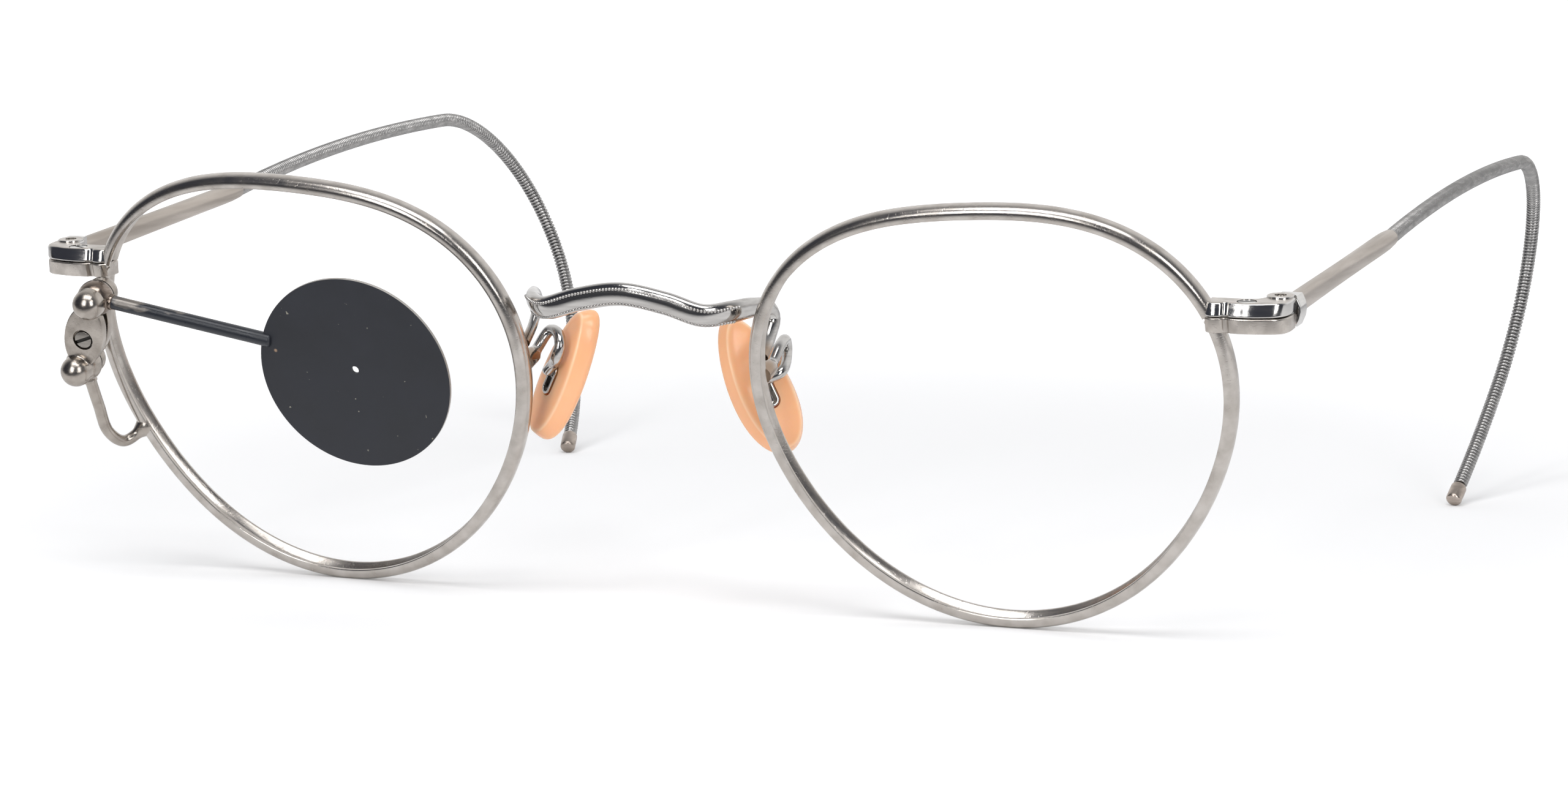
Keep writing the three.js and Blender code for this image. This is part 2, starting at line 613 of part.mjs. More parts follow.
// Nose pad in its own frame: x from the front edge to the back edge, y to the nose, z up its length.
// The rivet's axis is y and the origin is where it leaves the pad's back.
function padOutline(scale) {
  return Array.from({ length: 28 }, (_, i) => {
    const angle = i / 28 * 2 * Math.PI;
    const along = Math.sin(angle);
    const across = Math.cos(angle) * (1 - PAD_EGG * along);
    const inset = PAD_THICK * (1 - scale);
    return new THREE.Vector2((PAD_WIDE / 2 - inset) * across, (PAD_LONG / 2 - inset) * along);
  });
}

const padRear = PAD_FLOAT - PAD_POCKET;
const padLayers = [[0.72, 0], [0.9, 0.12], [1, 0.42], [0.97, 0.65], [0.84, 0.86], [0.5, 1]];
const padRings = padLayers.map(([scale, depth]) => {
  const at = new THREE.Vector3(-PAD_FORE, padRear + depth * PAD_THICK, PAD_UP);
  return ring(padOutline(scale), at, new THREE.Vector3(1, 0, 0), UP);
});
const rivetBore = turned([
  [0, PAD_FLOAT - 1],
  [RIVET_NECK + 0.05, PAD_FLOAT - 1],
  [RIVET_NECK + 0.05, PAD_FLOAT + RIVET_DEEP + 0.05],
  [0, PAD_FLOAT + RIVET_DEEP + 0.05],
], 12);
const pocket = oval(BOX_WIDE + 3 * PAD_FLOAT, BOX_LONG + 3 * PAD_FLOAT);
const pocketBar = new THREE.ExtrudeGeometry(pocket, { depth: 5, bevelEnabled: false, curveSegments: 6 });
const pad = without(
  solid(skin(padRings, padOutline(1))),
  solid(pocketBar.rotateX(Math.PI / 2).translate(0, PAD_FLOAT, 0)),
  solid(rivetBore.rotateX(-Math.PI / 2)),
);
const padRivet = turned([
  [0, -BOX_WALL - 0.5],
  [RIVET_HEAD * 0.7, -BOX_WALL - 0.45],
  [RIVET_HEAD, -BOX_WALL - 0.1],
  [RIVET_NECK, -BOX_WALL - 0.1],
  [RIVET_NECK, PAD_FLOAT + RIVET_DEEP],
  [0, PAD_FLOAT + RIVET_DEEP],
], 12).rotateX(-Math.PI / 2);

// Pad box: oval cup, open away from the pad, with a hole in its floor for the rivet.
function oval(wide, long) {
  const straight = (long - wide) / 2;
  const shape = new THREE.Shape();
  shape.absarc(0, straight, wide / 2, 0, Math.PI);
  shape.absarc(0, -straight, wide / 2, Math.PI, 2 * Math.PI);
  return shape;
}

const padCup = without(
  slab(oval(BOX_WIDE, BOX_LONG), 0, BOX_DEEP, 6),
  slab(oval(BOX_WIDE - 2 * BOX_WALL, BOX_LONG - 2 * BOX_WALL), BOX_WALL, BOX_DEEP + 1, 6),
  cylinder(RIVET_NECK + 0.12, -1, 1, 0, 0, 12),
);
const padBox = geometryOf(padCup).rotateX(Math.PI / 2);

const padUp = new THREE.Vector3(-PAD_FLARE, PAD_RAKE, 1).normalize();
const padSpread = new THREE.Vector3(Math.sin(PAD_SPLAY), Math.cos(PAD_SPLAY), 0);
const padAcross = padSpread.addScaledVector(padUp, -padSpread.dot(padUp)).normalize();
const padNose = padUp.clone().cross(padAcross);
const padAt = new THREE.Vector3(nasalX - PAD_INSET, PAD_BACK, -PAD_DROP);
const padTurn = new THREE.Quaternion().setFromRotationMatrix(
  new THREE.Matrix4().makeBasis(padAcross, padNose, padUp),
);

// Pad arms: from a foot behind the eyewire back, over, and forward again onto the mouth of the box.
// The left one loops behind the pad's back edge, the right one has been bent in over the pad.
function padPoint(across, off, up) {
  const at = padAt.clone().addScaledVector(padAcross, across);
  return at.addScaledVector(padNose, -off).addScaledVector(padUp, up);
}

const mouthOff = BOX_DEEP + ARM_WIRE + SOLDER_GAP;
const mouthUp = BOX_LONG / 2 - 0.35;
const leftLoop = [
  new THREE.Vector3(nasalX + 0.2, ARM_REACH - 2.1, ARM_RISE),
  new THREE.Vector3(nasalX + 0.15, ARM_REACH - 0.4, ARM_RISE - 0.1),
  new THREE.Vector3(nasalX + 0.05, ARM_REACH, ARM_RISE - 1.2),
  padPoint(1.6, mouthOff + 0.6, mouthUp),
  padPoint(-0.3, mouthOff, mouthUp),
];
const rightLoop = [
  padPoint(1.6, RIGHT_ARM_OFF + 0.1, RIGHT_ARM_UP - 0.6),
  padPoint(0.1, RIGHT_ARM_OFF, RIGHT_ARM_UP),
  padPoint(-1.1, RIGHT_ARM_OFF, RIGHT_ARM_UP - 0.6),
  padPoint(-1.3, RIGHT_ARM_OFF - 0.1, RIGHT_ARM_UP - 2.0),
  padPoint(-0.6, mouthOff, mouthUp + 0.7),
  padPoint(0, mouthOff, mouthUp - 0.6),
];

function padArm(loop) {
  const line = new THREE.CatmullRomCurve3([
    new THREE.Vector3(nasalX, nasalBack, ARM_FOOT_RISE),
    new THREE.Vector3(nasalX, nasalBack + ARM_FOOT_LONG, ARM_FOOT_RISE),
    ...loop,
  ]);
  const footShare = 0.8 * ARM_FOOT_LONG / line.getLength();
  const radius = (t) => {
    const past = THREE.MathUtils.smoothstep(t, footShare, 1.6 * footShare);
    return THREE.MathUtils.lerp(ARM_FOOT, ARM_WIRE, past);
  };
  return geometryOf(solid(wire(line, 28, radius)));
}

function nosePad(side, word, loop) {
  add(front, `pad_arm_${word}`, padArm(loop), nickel, side);
  const seat = holder(front, `pad_seat_${word}`);
  seat.position.set(side * padAt.x, padAt.y, padAt.z);
  seat.quaternion.set(padTurn.x, side * padTurn.y, side * padTurn.z, padTurn.w);
  add(seat, `pad_box_${word}`, padBox, nickel, side);
  add(seat, `pad_rivet_${word}`, geometryOf(solid(padRivet)), nickel, side);
  add(seat, `nose_pad_${word}`, geometryOf(pad), peach, side);
}

nosePad(1, 'left', leftLoop);
nosePad(-1, 'right', rightLoop);

// Clamp: two plates with a cup at each end, in a frame with z from the lower ball to the upper ball.
const lowerBall = new THREE.Vector3(-EYE_CENTRES / 2 - EYE_RADIUS - CLAMP_OUT, -CLAMP_FORWARD, CLAMP_RISE);
const clampUp = new THREE.Vector3(Math.sin(CLAMP_LEAN), 0, Math.cos(CLAMP_LEAN));
const upperBall = lowerBall.clone().addScaledVector(clampUp, BALL_SPACING);
const clamp = holder(front, 'clamp_frame');
clamp.position.copy(lowerBall).addScaledVector(clampUp, BALL_SPACING / 2);
clamp.rotation.y = CLAMP_LEAN;

const innerFace = PLATE_GAP / 2;
const outerFace = innerFace + PLATE_THICK;
const ballEnds = [-BALL_SPACING / 2, BALL_SPACING / 2];

function sphere(radius, y, z) {
  return solid(new THREE.SphereGeometry(radius, 14, 8).rotateX(Math.PI / 2).translate(0, y, z));
}

function plate(wide, cupOut, hole, headRing) {
  const middle = new THREE.Shape().absellipse(0, 0, wide / 2, PLATE_LONG / 2, 0, 2 * Math.PI);
  const domes = ballEnds.map((y) => sphere(CUP_RADIUS, y, cupOut));
  const collars = ballEnds.map((y) => cylinder(CUP_RADIUS, innerFace, cupOut, 0, y, 16));
  const balls = ballEnds.map((y) => sphere(BALL_RADIUS + RUN_GAP, y, 0));
  const bores = [cylinder(hole, -1, 5)];
  if (headRing > 0) {
    bores.push(cylinder(headRing, outerFace - 0.6, 5));
  }
  const body = union(slab(middle, innerFace, outerFace, 10), ...domes, ...collars);
  return geometryOf(without(body, ...balls, ...bores));
}

const headRing = CLAMP_HEAD + COUNTERBORE;
const frontPlate = plate(FRONT_PLATE, FRONT_CUP, CLAMP_SHANK + 0.1, headRing).rotateX(Math.PI / 2);
const rearPlate = plate(REAR_PLATE, REAR_CUP, CLAMP_SHANK + 0.05, 0).rotateX(Math.PI / 2).rotateZ(Math.PI);
const clampScrew = screw(CLAMP_HEAD, 0.5, CLAMP_SHANK, -outerFace, outerFace);
const clampTurned = geometryOf(clampScrew).rotateZ(THREE.MathUtils.degToRad(40)).rotateX(Math.PI / 2);
add(clamp, 'clamp_front_plate', frontPlate, nickel);
add(clamp, 'clamp_rear_plate', rearPlate, nickel);
add(clamp, 'clamp_screw', clampTurned, nickel);

const ball = geometryOf(solid(new THREE.SphereGeometry(BALL_RADIUS, 14, 8).rotateX(Math.PI / 2)));
add(front, 'bracket_ball', ball, nickel).position.copy(lowerBall);
add(front, 'arm_ball', ball, darkMetal).position.copy(upperBall);

// Bracket wire: down from the lower ball, round under it and back to the eyewire.
const solderAt = eyePoint(BRACKET_ANGLE).multiply(new THREE.Vector3(-1, 1, 1));
const wireTop = new THREE.Vector3(0.25, 0, -1).normalize();
const bracketBottom = lowerBall.z - BRACKET_DROP;
const bracketLine = new THREE.CatmullRomCurve3([
  lowerBall.clone().addScaledVector(wireTop, BALL_RADIUS + 0.05),
  new THREE.Vector3(lowerBall.x + 0.5, lowerBall.y + 0.5, lowerBall.z - 4.7),
  new THREE.Vector3(lowerBall.x + 0.4, lowerBall.y + 1.5, bracketBottom + 1.8),
  new THREE.Vector3(lowerBall.x + 1.1, lowerBall.y + 3.1, bracketBottom),
  solderAt,
]);
const bracket = without(
  solid(wire(bracketLine, 24, () => BRACKET_WIRE, 10)),
  solid(bracketCutter.scale(-1, 1, 1)),
);
add(front, 'bracket_wire', geometryOf(bracket), nickel);

// Aperture arm and disc, in a frame with x along the arm from the upper ball.
const aperture = holder(front, 'aperture_frame');
aperture.position.copy(upperBall);
aperture.rotation.y = APERTURE_DROP;
const discEdge = APERTURE_REACH - Math.sqrt(DISC_RADIUS ** 2 - APERTURE_BELOW ** 2);
const armEnd = discEdge + SLOT_BITE;
const rod = turned([
  [0, BALL_RADIUS + 0.05],
  [APERTURE_ARM, BALL_RADIUS + 0.05],
  [APERTURE_ARM, armEnd],
  [0, armEnd],
]);
const discSlot = new THREE.CylinderGeometry(DISC_RADIUS + 0.06, DISC_RADIUS + 0.06, DISC_THICK + 0.12, 64);
const apertureArm = without(
  solid(rod.rotateY(Math.PI / 2)),
  solid(discSlot.translate(APERTURE_REACH, 0, -APERTURE_BELOW)),
);
add(aperture, 'aperture_arm', geometryOf(apertureArm), black);
const discShape = new THREE.Shape().absarc(0, 0, DISC_RADIUS, 0, 2 * Math.PI);
discShape.holes.push(new THREE.Path().absarc(0, PINHOLE_UP, PINHOLE_RADIUS, 0, 2 * Math.PI));
const discBody = slab(discShape, -DISC_THICK / 2, DISC_THICK / 2, 24);
const disc = add(aperture, 'aperture_disc', geometryOf(discBody).rotateX(Math.PI / 2), black);
disc.position.set(APERTURE_REACH, 0, -APERTURE_BELOW);

// Origin at the middle of the footprint, on the table.
glasses.updateMatrixWorld(true);
const extent = new THREE.Box3().setFromObject(glasses, true);
const middle = extent.getCenter(new THREE.Vector3());
glasses.position.set(-middle.x, -middle.y, -extent.min.z);

export default glasses;
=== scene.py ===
# %% [markdown]
# # Shooting glasses, dressed in Blender
# The frame of these glasses is already built and jointed in CAD. Here every visible piece gets the smooth
# form and the worn finish of the real one. Each step says what the piece is, how it could be made, and why
# one way was chosen. The CAD solids come in first, as the fixed frame that everything else is laid on.

# %% Load the frame
import json
import math

import bmesh
import bpy
from mathutils import Matrix, Vector


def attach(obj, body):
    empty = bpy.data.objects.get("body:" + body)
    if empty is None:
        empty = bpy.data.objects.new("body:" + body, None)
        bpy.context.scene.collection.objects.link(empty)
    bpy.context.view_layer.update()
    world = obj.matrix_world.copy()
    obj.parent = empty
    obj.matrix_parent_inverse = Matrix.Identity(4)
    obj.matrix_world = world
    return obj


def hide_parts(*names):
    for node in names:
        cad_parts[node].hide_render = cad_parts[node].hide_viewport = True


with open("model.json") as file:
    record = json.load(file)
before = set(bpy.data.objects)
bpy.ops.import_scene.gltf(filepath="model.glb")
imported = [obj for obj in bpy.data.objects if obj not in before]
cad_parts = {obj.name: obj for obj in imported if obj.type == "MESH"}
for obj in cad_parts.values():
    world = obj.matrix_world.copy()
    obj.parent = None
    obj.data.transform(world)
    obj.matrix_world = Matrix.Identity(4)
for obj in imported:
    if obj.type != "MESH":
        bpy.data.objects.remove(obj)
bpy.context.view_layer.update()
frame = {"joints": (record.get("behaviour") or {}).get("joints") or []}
joints = {joint["name"]: joint for joint in frame["joints"]}

# %% [markdown]
# ## The bench
# Spectacle parts are so small that Blender's default tolerances, meant for rooms and chairs, are coarse for
# them. So each piece is modelled on a bench where one unit is a millimetre, in its own easy position, and
# then laid into the frame by a matrix that also scales it to metres. The helpers below are the few hand
# movements that every piece shares: select one thing, apply one modifier, cut with a tool, join, and seat.

# %% The bench
MM = 0.001
QUARTER_TURN = Matrix.Rotation(math.radians(90), 4, "X")


def clear():
    """Deselects everything, so that the next operator touches only what is picked."""
    bpy.ops.object.select_all(action="DESELECT")


def pick(piece, *others):
    clear()
    for other in others:
        other.select_set(True)
    piece.select_set(True)
    bpy.context.view_layer.objects.active = piece
    return piece


def apply(piece, kind, **settings):
    """Adds one modifier, sets it and applies it at once."""
    pick(piece)
    step = piece.modifiers.new(kind.lower(), kind)
    for key, value in settings.items():
        setattr(step, key, value)
    bpy.ops.object.modifier_apply(modifier=step.name)
    return piece


def discard(piece):
    bpy.data.objects.remove(piece, do_unlink=True)


def cut(piece, tool, how="DIFFERENCE"):
    """Cuts a piece with a tool by a boolean, then throws the tool away."""
    apply(piece, "BOOLEAN", object=tool, operation=how, solver="EXACT")
    discard(tool)
    return piece


def join(first, *others):
    pick(first, *others)
    bpy.ops.object.join()
    return first


def as_mesh(curve):
    pick(curve)
    bpy.ops.object.convert(target="MESH")
    return bpy.context.object


def tidy_mesh(piece, gap=0.0005):
    """Merges doubles and turns all faces outward."""
    pick(piece)
    bpy.ops.object.mode_set(mode="EDIT")
    bpy.ops.mesh.select_all(action="SELECT")
    bpy.ops.mesh.remove_doubles(threshold=gap)
    bpy.ops.mesh.normals_make_consistent(inside=False)
    bpy.ops.object.mode_set(mode="OBJECT")
    return piece


def copy_of(piece):
    twin = piece.copy()
    twin.data = piece.data.copy()
    bpy.context.collection.objects.link(twin)
    return twin


def seat(piece, name, place, body, nodes, finish, angle=40):
    """Lays a finished bench piece into the frame, names it, and ties it to its body, nodes and finish."""
    piece.data.transform(place @ Matrix.Scale(MM, 4) @ piece.matrix_basis)
    piece.matrix_basis = Matrix.Identity(4)
    if place.determinant() < 0:
        piece.data.flip_normals()
    piece.name = name
    piece.data.name = name
    pick(piece)
    bpy.ops.object.shade_smooth_by_angle(angle=math.radians(angle))
    apply(piece, "WEIGHTED_NORMAL", keep_sharp=True)
    if not piece.data.materials:
        piece.data.materials.append(finish)
    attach(piece, body)
    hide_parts(*nodes)
    triangles = sum(len(face.vertices) - 2 for face in piece.data.polygons)
    print(f"{name}: {triangles} triangles on {body}")
    return piece


# %% [markdown]
# ## The front's place
# The front leans back on the table at 18.4 degrees. Its origin is midway between the eyes, in the plane of
# the eyewires. Rather than trusting a typed position, it is measured from the two hinge pins of the CAD
# frame: midway between them, then down and forward by the pins' own distances. In the front's own axes, x
# is the wearer's left, y points to the back and z points up along the lens.

# %% The front's place
FRONT_TILT = math.radians(18.4)
HINGE_Y = 3.4
HINGE_Z = 9.85
lean_back = Matrix.Rotation(FRONT_TILT, 4, "X")
pins = [Vector(joints[f"temple_{side}_fold"]["pos_m"]) for side in ("left", "right")]
front_at = (pins[0] + pins[1]) / 2 - lean_back @ Vector((0, HINGE_Y * MM, HINGE_Z * MM))
front = Matrix.Translation(front_at) @ lean_back
mirror = Matrix.Scale(-1, 4, (1, 0, 0))
print("front origin in mm:", [round(1000 * v, 3) for v in front_at])

# %% [markdown]
# ## Camera
# The camera stands where the photographer stood: 20 degrees round to the wearer's left and 8 degrees up,
# with a long lens. Its place and focal length were worked out from sizes that show in the picture. The
# focal length in pixels becomes millimetres on Blender's 36 mm sensor by the picture's width of 2560.

# %% Camera
PICTURE_WIDE = 2560
FOCAL_PIXELS = 7136.7
camera_data = bpy.data.cameras.new("camera")
camera = bpy.data.objects.new("camera", camera_data)
bpy.context.scene.collection.objects.link(camera)
bpy.context.scene.camera = camera
camera_data.sensor_width = 36
camera_data.lens = FOCAL_PIXELS / PICTURE_WIDE * camera_data.sensor_width
camera_data.clip_start = 0.01
camera_at = Vector((154.812, -429.757, 79.244)) * MM
looks_at = Vector((12.600, -48.114, 21.680)) * MM
ahead = (looks_at - camera_at).normalized()
rightward = ahead.cross(Vector((0, 0, 1))).normalized()
upward = rightward.cross(ahead)
roll = math.radians(0.283)
side_axis = math.cos(roll) * rightward + math.sin(roll) * upward
top_axis = math.cos(roll) * upward - math.sin(roll) * rightward
turn = Matrix((side_axis, top_axis, -ahead)).transposed().to_4x4()
camera.matrix_world = Matrix.Translation(camera_at) @ turn
print("lens in mm:", round(camera_data.lens, 2))

# %% [markdown]
# ## Node tools
# A finish in Blender is a net of nodes: textures make values, maths bends them, and a shader turns them
# into a surface. Wired by hand, a net takes many lines that all look alike. So one helper adds a node and
# feeds its inputs, and a few more make the steps that come back in every finish. Each of those hands on the
# socket where its result comes out.


# %% Node tools
def feed(tree, node, values):
    """Gives a node's inputs what they need: a link from another socket, a colour or a number."""
    for key, value in values.items():
        socket = node.inputs[key]
        if isinstance(value, bpy.types.NodeSocket):
            tree.links.new(value, socket)
        elif socket.type == "RGBA":
            socket.default_value = (*value, 1)
        else:
            socket.default_value = value


def add(tree, kind, values=None, **settings):
    """Adds a node with its settings and inputs."""
    node = tree.nodes.new("ShaderNode" + kind)
    for key, value in settings.items():
        setattr(node, key, value)
    feed(tree, node, values or {})
    return node


def where(tree, kind="Object"):
    return add(tree, "TexCoord").outputs[kind]


def maths(tree, operation, first, second):
    return add(tree, "Math", {0: first, 1: second}, operation=operation).outputs[0]


def spread(tree, source, low, high, from_low=0.3, from_high=0.7, **settings):
    """Maps a value from one range onto another."""
    ends = {"From Min": from_low, "From Max": from_high, "To Min": low, "To Max": high}
    return add(tree, "MapRange", {"Value": source, **ends}, **settings).outputs["Result"]


def mixed(tree, factor, first, second):
    return add(tree, "Mix", {"Factor": factor, "A": first, "B": second}, data_type="RGBA").outputs["Result"]


def ramp(tree, source, low, low_colour, high, high_colour):
    band = add(tree, "ValToRGB", {"Fac": source})
    for stop, place, colour in zip(band.color_ramp.elements, (low, high), (low_colour, high_colour)):
        stop.position = place
        stop.color = (*colour, 1)
    return band.outputs["Color"]


def new_finish(name):
    finish = bpy.data.materials.new(name)
    finish.use_nodes = True
    return finish, finish.node_tree


def shade(finish, values):
    feed(finish.node_tree, finish.node_tree.nodes["Principled BSDF"], values)
    return finish


# %% [markdown]
# ## Floor, backdrop and lights
# The glasses stand on a white sheet in a light tent. A polished piece shows only what is round it, so the
# room matters as much as the metal: it is white at the back and dark on the camera's side, and Light Path
# shows plain white to the camera alone. The floor is one large plane. It glows more with the distance, so
# that the shadows stay and the far part melts into the white. In mirrors it turns dark past an edge in
# front, and that gives the wire its dark streaks. Narrow soft boxes make the bright squares on the
# endpieces, and a wide one above makes the shadows.

# %% Floor
SHEET_EDGE = -0.078
SHEET_DARK = -0.110
bpy.ops.mesh.primitive_plane_add(size=6, location=(0, 0, 0))
floor = bpy.context.object
floor.name = "floor"
sheet, tree = new_finish("white_sheet")
ray = add(tree, "LightPath").outputs
forward = add(tree, "SeparateXYZ", {0: where(tree)}).outputs["Y"]
past_edge = spread(tree, forward, 0, 1, SHEET_EDGE, SHEET_DARK)
in_mirrors = maths(tree, "MULTIPLY", ray["Is Glossy Ray"], past_edge)
distance = add(tree, "VectorMath", {0: where(tree)}, operation="LENGTH").outputs["Value"]
fade = spread(tree, distance, 0.07, 0.75, 0.05, 0.34, interpolation_type="SMOOTHSTEP")
seen = maths(tree, "MAXIMUM", ray["Is Camera Ray"], ray["Is Transmission Ray"])
shade(sheet, {
    "Base Color": mixed(tree, in_mirrors, (0.92, 0.92, 0.925), (0.04, 0.042, 0.05)),
    "Roughness": 0.9,
    "Specular IOR Level": 0.1,
    "Emission Color": (1, 1, 1),
    "Emission Strength": maths(tree, "MULTIPLY", seen, fade),
})
floor.data.materials.append(sheet)
print("floor nodes:", len(tree.nodes))

# %% World
world = bpy.data.worlds.new("light_tent")
bpy.context.scene.world = world
world.use_nodes = True
tree = world.node_tree
tree.nodes.clear()
backward = add(tree, "SeparateXYZ", {0: where(tree, "Generated")}).outputs["Y"]
room_tone = ramp(tree, spread(tree, backward, 0, 1, -1, 1), 0.40, (0.050, 0.054, 0.070), 0.76, (1, 1, 1))
room = add(tree, "Background", {"Color": room_tone}).outputs[0]
white = add(tree, "Background", {"Color": (1, 1, 1)}).outputs[0]
to_camera = add(tree, "LightPath").outputs["Is Camera Ray"]
both = add(tree, "MixShader", {"Fac": to_camera, 1: room, 2: white}).outputs[0]
add(tree, "OutputWorld", {"Surface": both})
bpy.context.scene.view_settings.view_transform = "Standard"
print("world nodes:", len(tree.nodes))


# %% Soft boxes
def soft_box(name, at, wide, tall, power):
    light_data = bpy.data.lights.new(name, "AREA")
    light_data.shape = "RECTANGLE"
    light_data.size = wide
    light_data.size_y = tall
    light_data.energy = power
    light = bpy.data.objects.new(name, light_data)
    light.location = at
    light.rotation_mode = "QUATERNION"
    light.rotation_quaternion = (looks_at - Vector(at)).to_track_quat("-Z", "Y")
    bpy.context.scene.collection.objects.link(light)
    print(f"{name}: {power} W")


soft_box("soft_box_left", (-0.150, -0.614, 0.20), 0.05, 0.36, 0.6)
soft_box("soft_box_middle", (-0.034, -0.645, 0.20), 0.05, 0.36, 0.6)
soft_box("soft_box_right", (0.46, -0.46, 0.22), 0.17, 0.40, 1.3)
soft_box("soft_box_top", (0.06, -0.36, 0.66), 0.60, 0.34, 3.2)

# %% [markdown]
# ## White metal
# The frame is a nickel alloy. Handling has left some places bright and others satin, with fine pits, and
# the metal is slightly warm. One recipe serves every piece: a slow noise moves the roughness between bright
# and satin, a fine noise makes the pits, and a stretched noise the polishing lines. The size of each noise
# is given in millimetres and turned into Blender's scale, so that it can be checked against a real part.


# %% White metal
def noise(tree, size_mm, detail=3.0, stretch=None):
    """A noise whose blotches are about the given size."""
    source = where(tree)
    if stretch:
        source = add(tree, "Mapping", {"Vector": source, "Scale": stretch}).outputs["Vector"]
    values = {"Vector": source, "Scale": 1 / (size_mm * MM), "Detail": detail}
    return add(tree, "TexNoise", values).outputs["Fac"]


def relief(tree, height, depth_mm, below=None):
    """Turns a height into a bump of the given depth, on top of another bump."""
    values = {"Height": height, "Distance": depth_mm * MM}
    if below:
        values["Normal"] = below
    return add(tree, "Bump", values).outputs["Normal"]


def measure(tree, kind, point, direction=(0, 0, 0)):
    """Distance in millimetres from a point, or along a direction from it, in the row frame."""
    offset = add(tree, "VectorMath", {0: where(tree), 1: point}, operation="SUBTRACT").outputs["Vector"]
    size = add(tree, "VectorMath", {0: offset, 1: direction}, operation=kind).outputs["Value"]
    return maths(tree, "MULTIPLY", size, 1 / MM)


DRAWN = (0.15, 1, 4)
PLAIN = (1, 1, 1)
BRAZE_BROWN = (0.33, 0.235, 0.165)


def white_metal(name, dull, light, bright, satin, pit_mm=0.22, pit_depth=0.004, brazed=(), grain=DRAWN):
    """Nickel alloy, worn between bright and satin, and brown where it was brazed."""
    finish, tree = new_finish(name)
    wear = noise(tree, 1.6, stretch=grain)
    colour = ramp(tree, wear, 0.30, dull, 0.70, light)
    for point in brazed:
        near = spread(tree, measure(tree, "LENGTH", point), 0.85, 0, 0.9, 2.0)
        colour = mixed(tree, near, colour, BRAZE_BROWN)
    pits = spread(tree, noise(tree, pit_mm, detail=2.0), 0, 1, 0.30, 0.42)
    lines = noise(tree, 0.5, detail=2.0, stretch=grain)
    surface = relief(tree, lines, pit_depth * 0.6, relief(tree, pits, pit_depth))
    rough = spread(tree, wear, satin, bright)
    return shade(finish, {"Metallic": 1, "Base Color": colour, "Roughness": rough, "Normal": surface})


bright_metal = white_metal(
    "bright_metal", (0.58, 0.565, 0.545), (0.66, 0.645, 0.625), 0.10, 0.17, pit_mm=0.3, pit_depth=0.0012
)
eyewire_metal = white_metal(
    "eyewire_metal", (0.45, 0.415, 0.38), (0.58, 0.545, 0.51), 0.18, 0.28, grain=PLAIN
)
satin_metal = white_metal("satin_metal", (0.42, 0.385, 0.35), (0.60, 0.555, 0.51), 0.24, 0.36, grain=PLAIN)
print("white metal finishes:", bright_metal.name, eyewire_metal.name, satin_metal.name)

# %% [markdown]
# ## Eyewires
# An eyewire is a half-round wire with a groove rolled along its inside for the lens, bent to the lens shape
# and left open at the endpiece. In Blender a wire with a shaped section is a curve with a bevel object: one
# curve is the path and another the section. The path lies flat on the bench, so the section can't twist.
# The lens shape is a circle with a few small swellings, the same formula that the CAD frame uses.

# %% Eyewire path
EYE_CENTRES = 69.7
FACE_WRAP = math.radians(1.6)


def eye_radius(angle):
    oval = 22.0 + 0.72 * math.cos(2 * angle) + 0.25 * math.sin(2 * angle)
    pear = 1.04 * math.sin(3 * angle) - 0.14 * math.cos(3 * angle)
    return oval + pear - 0.18 * math.cos(4 * angle)


def bench_curve(name, points, closed=False, radii=None, flat=False):
    """A poly curve through the points, on the bench."""
    bpy.ops.curve.primitive_bezier_curve_add(location=(0, 0, 0))
    curve = bpy.context.object
    curve.name = name
    curve.data.dimensions = "2D" if flat else "3D"
    curve.data.splines.clear()
    line = curve.data.splines.new("POLY")
    line.points.add(len(points) - 1)
    for i, point in enumerate(points):
        line.points[i].co = (*point, 1)
        line.points[i].radius = radii[i] if radii else 1
    line.use_cyclic_u = closed
    line.use_smooth = True
    return curve


SPLIT_TURN = 0.0068
SPLIT_HEIGHT = 10.507
SPLIT_ANGLE = 0.0
for _ in range(30):
    SPLIT_ANGLE = math.asin(SPLIT_HEIGHT / eye_radius(SPLIT_ANGLE))
EYE_STEPS = 260
eye_line = []
for i in range(EYE_STEPS + 1):
    angle = SPLIT_ANGLE + SPLIT_TURN + (2 * math.pi - 2 * SPLIT_TURN) * i / EYE_STEPS
    eye_line.append((eye_radius(angle) * math.cos(angle), eye_radius(angle) * math.sin(angle), 0))
eye_path = bench_curve("eye_path", eye_line, flat=True)
spans = [max(point[k] for point in eye_line) - min(point[k] for point in eye_line) for k in (0, 1)]
print("eyewire width and height:", [round(span, 2) for span in spans])

# %% Eyewire section
RIM_THICK = 1.3
RIM_DEPTH = 2.0
section = []
for i in range(17):
    turn_by = (i / 16 - 0.5) * math.pi
    section.append((0.55 * RIM_THICK * math.cos(turn_by), RIM_DEPTH / 2 * math.sin(turn_by), 0))
lip = -0.45 * RIM_THICK
section += [(lip + 0.14, 0.98, 0), (lip + 0.03, 0.90, 0), (lip, 0.76, 0), (lip + 0.03, 0.64, 0)]
section += [(lip + 0.50, 0.08, 0), (lip + 0.50, -0.08, 0)]
section += [(lip + 0.03, -0.64, 0), (lip, -0.76, 0), (lip + 0.03, -0.90, 0), (lip + 0.14, -0.98, 0)]
rim_section = bench_curve("rim_section", section, closed=True, flat=True)
eye_path.data.bevel_mode = "OBJECT"
eye_path.data.bevel_object = rim_section
eye_path.data.use_fill_caps = True
eyewire = as_mesh(eye_path)
discard(rim_section)
tidy_mesh(eyewire)
print("eyewire's outermost point:", round(max(vertex.co.x for vertex in eyewire.data.vertices), 2))

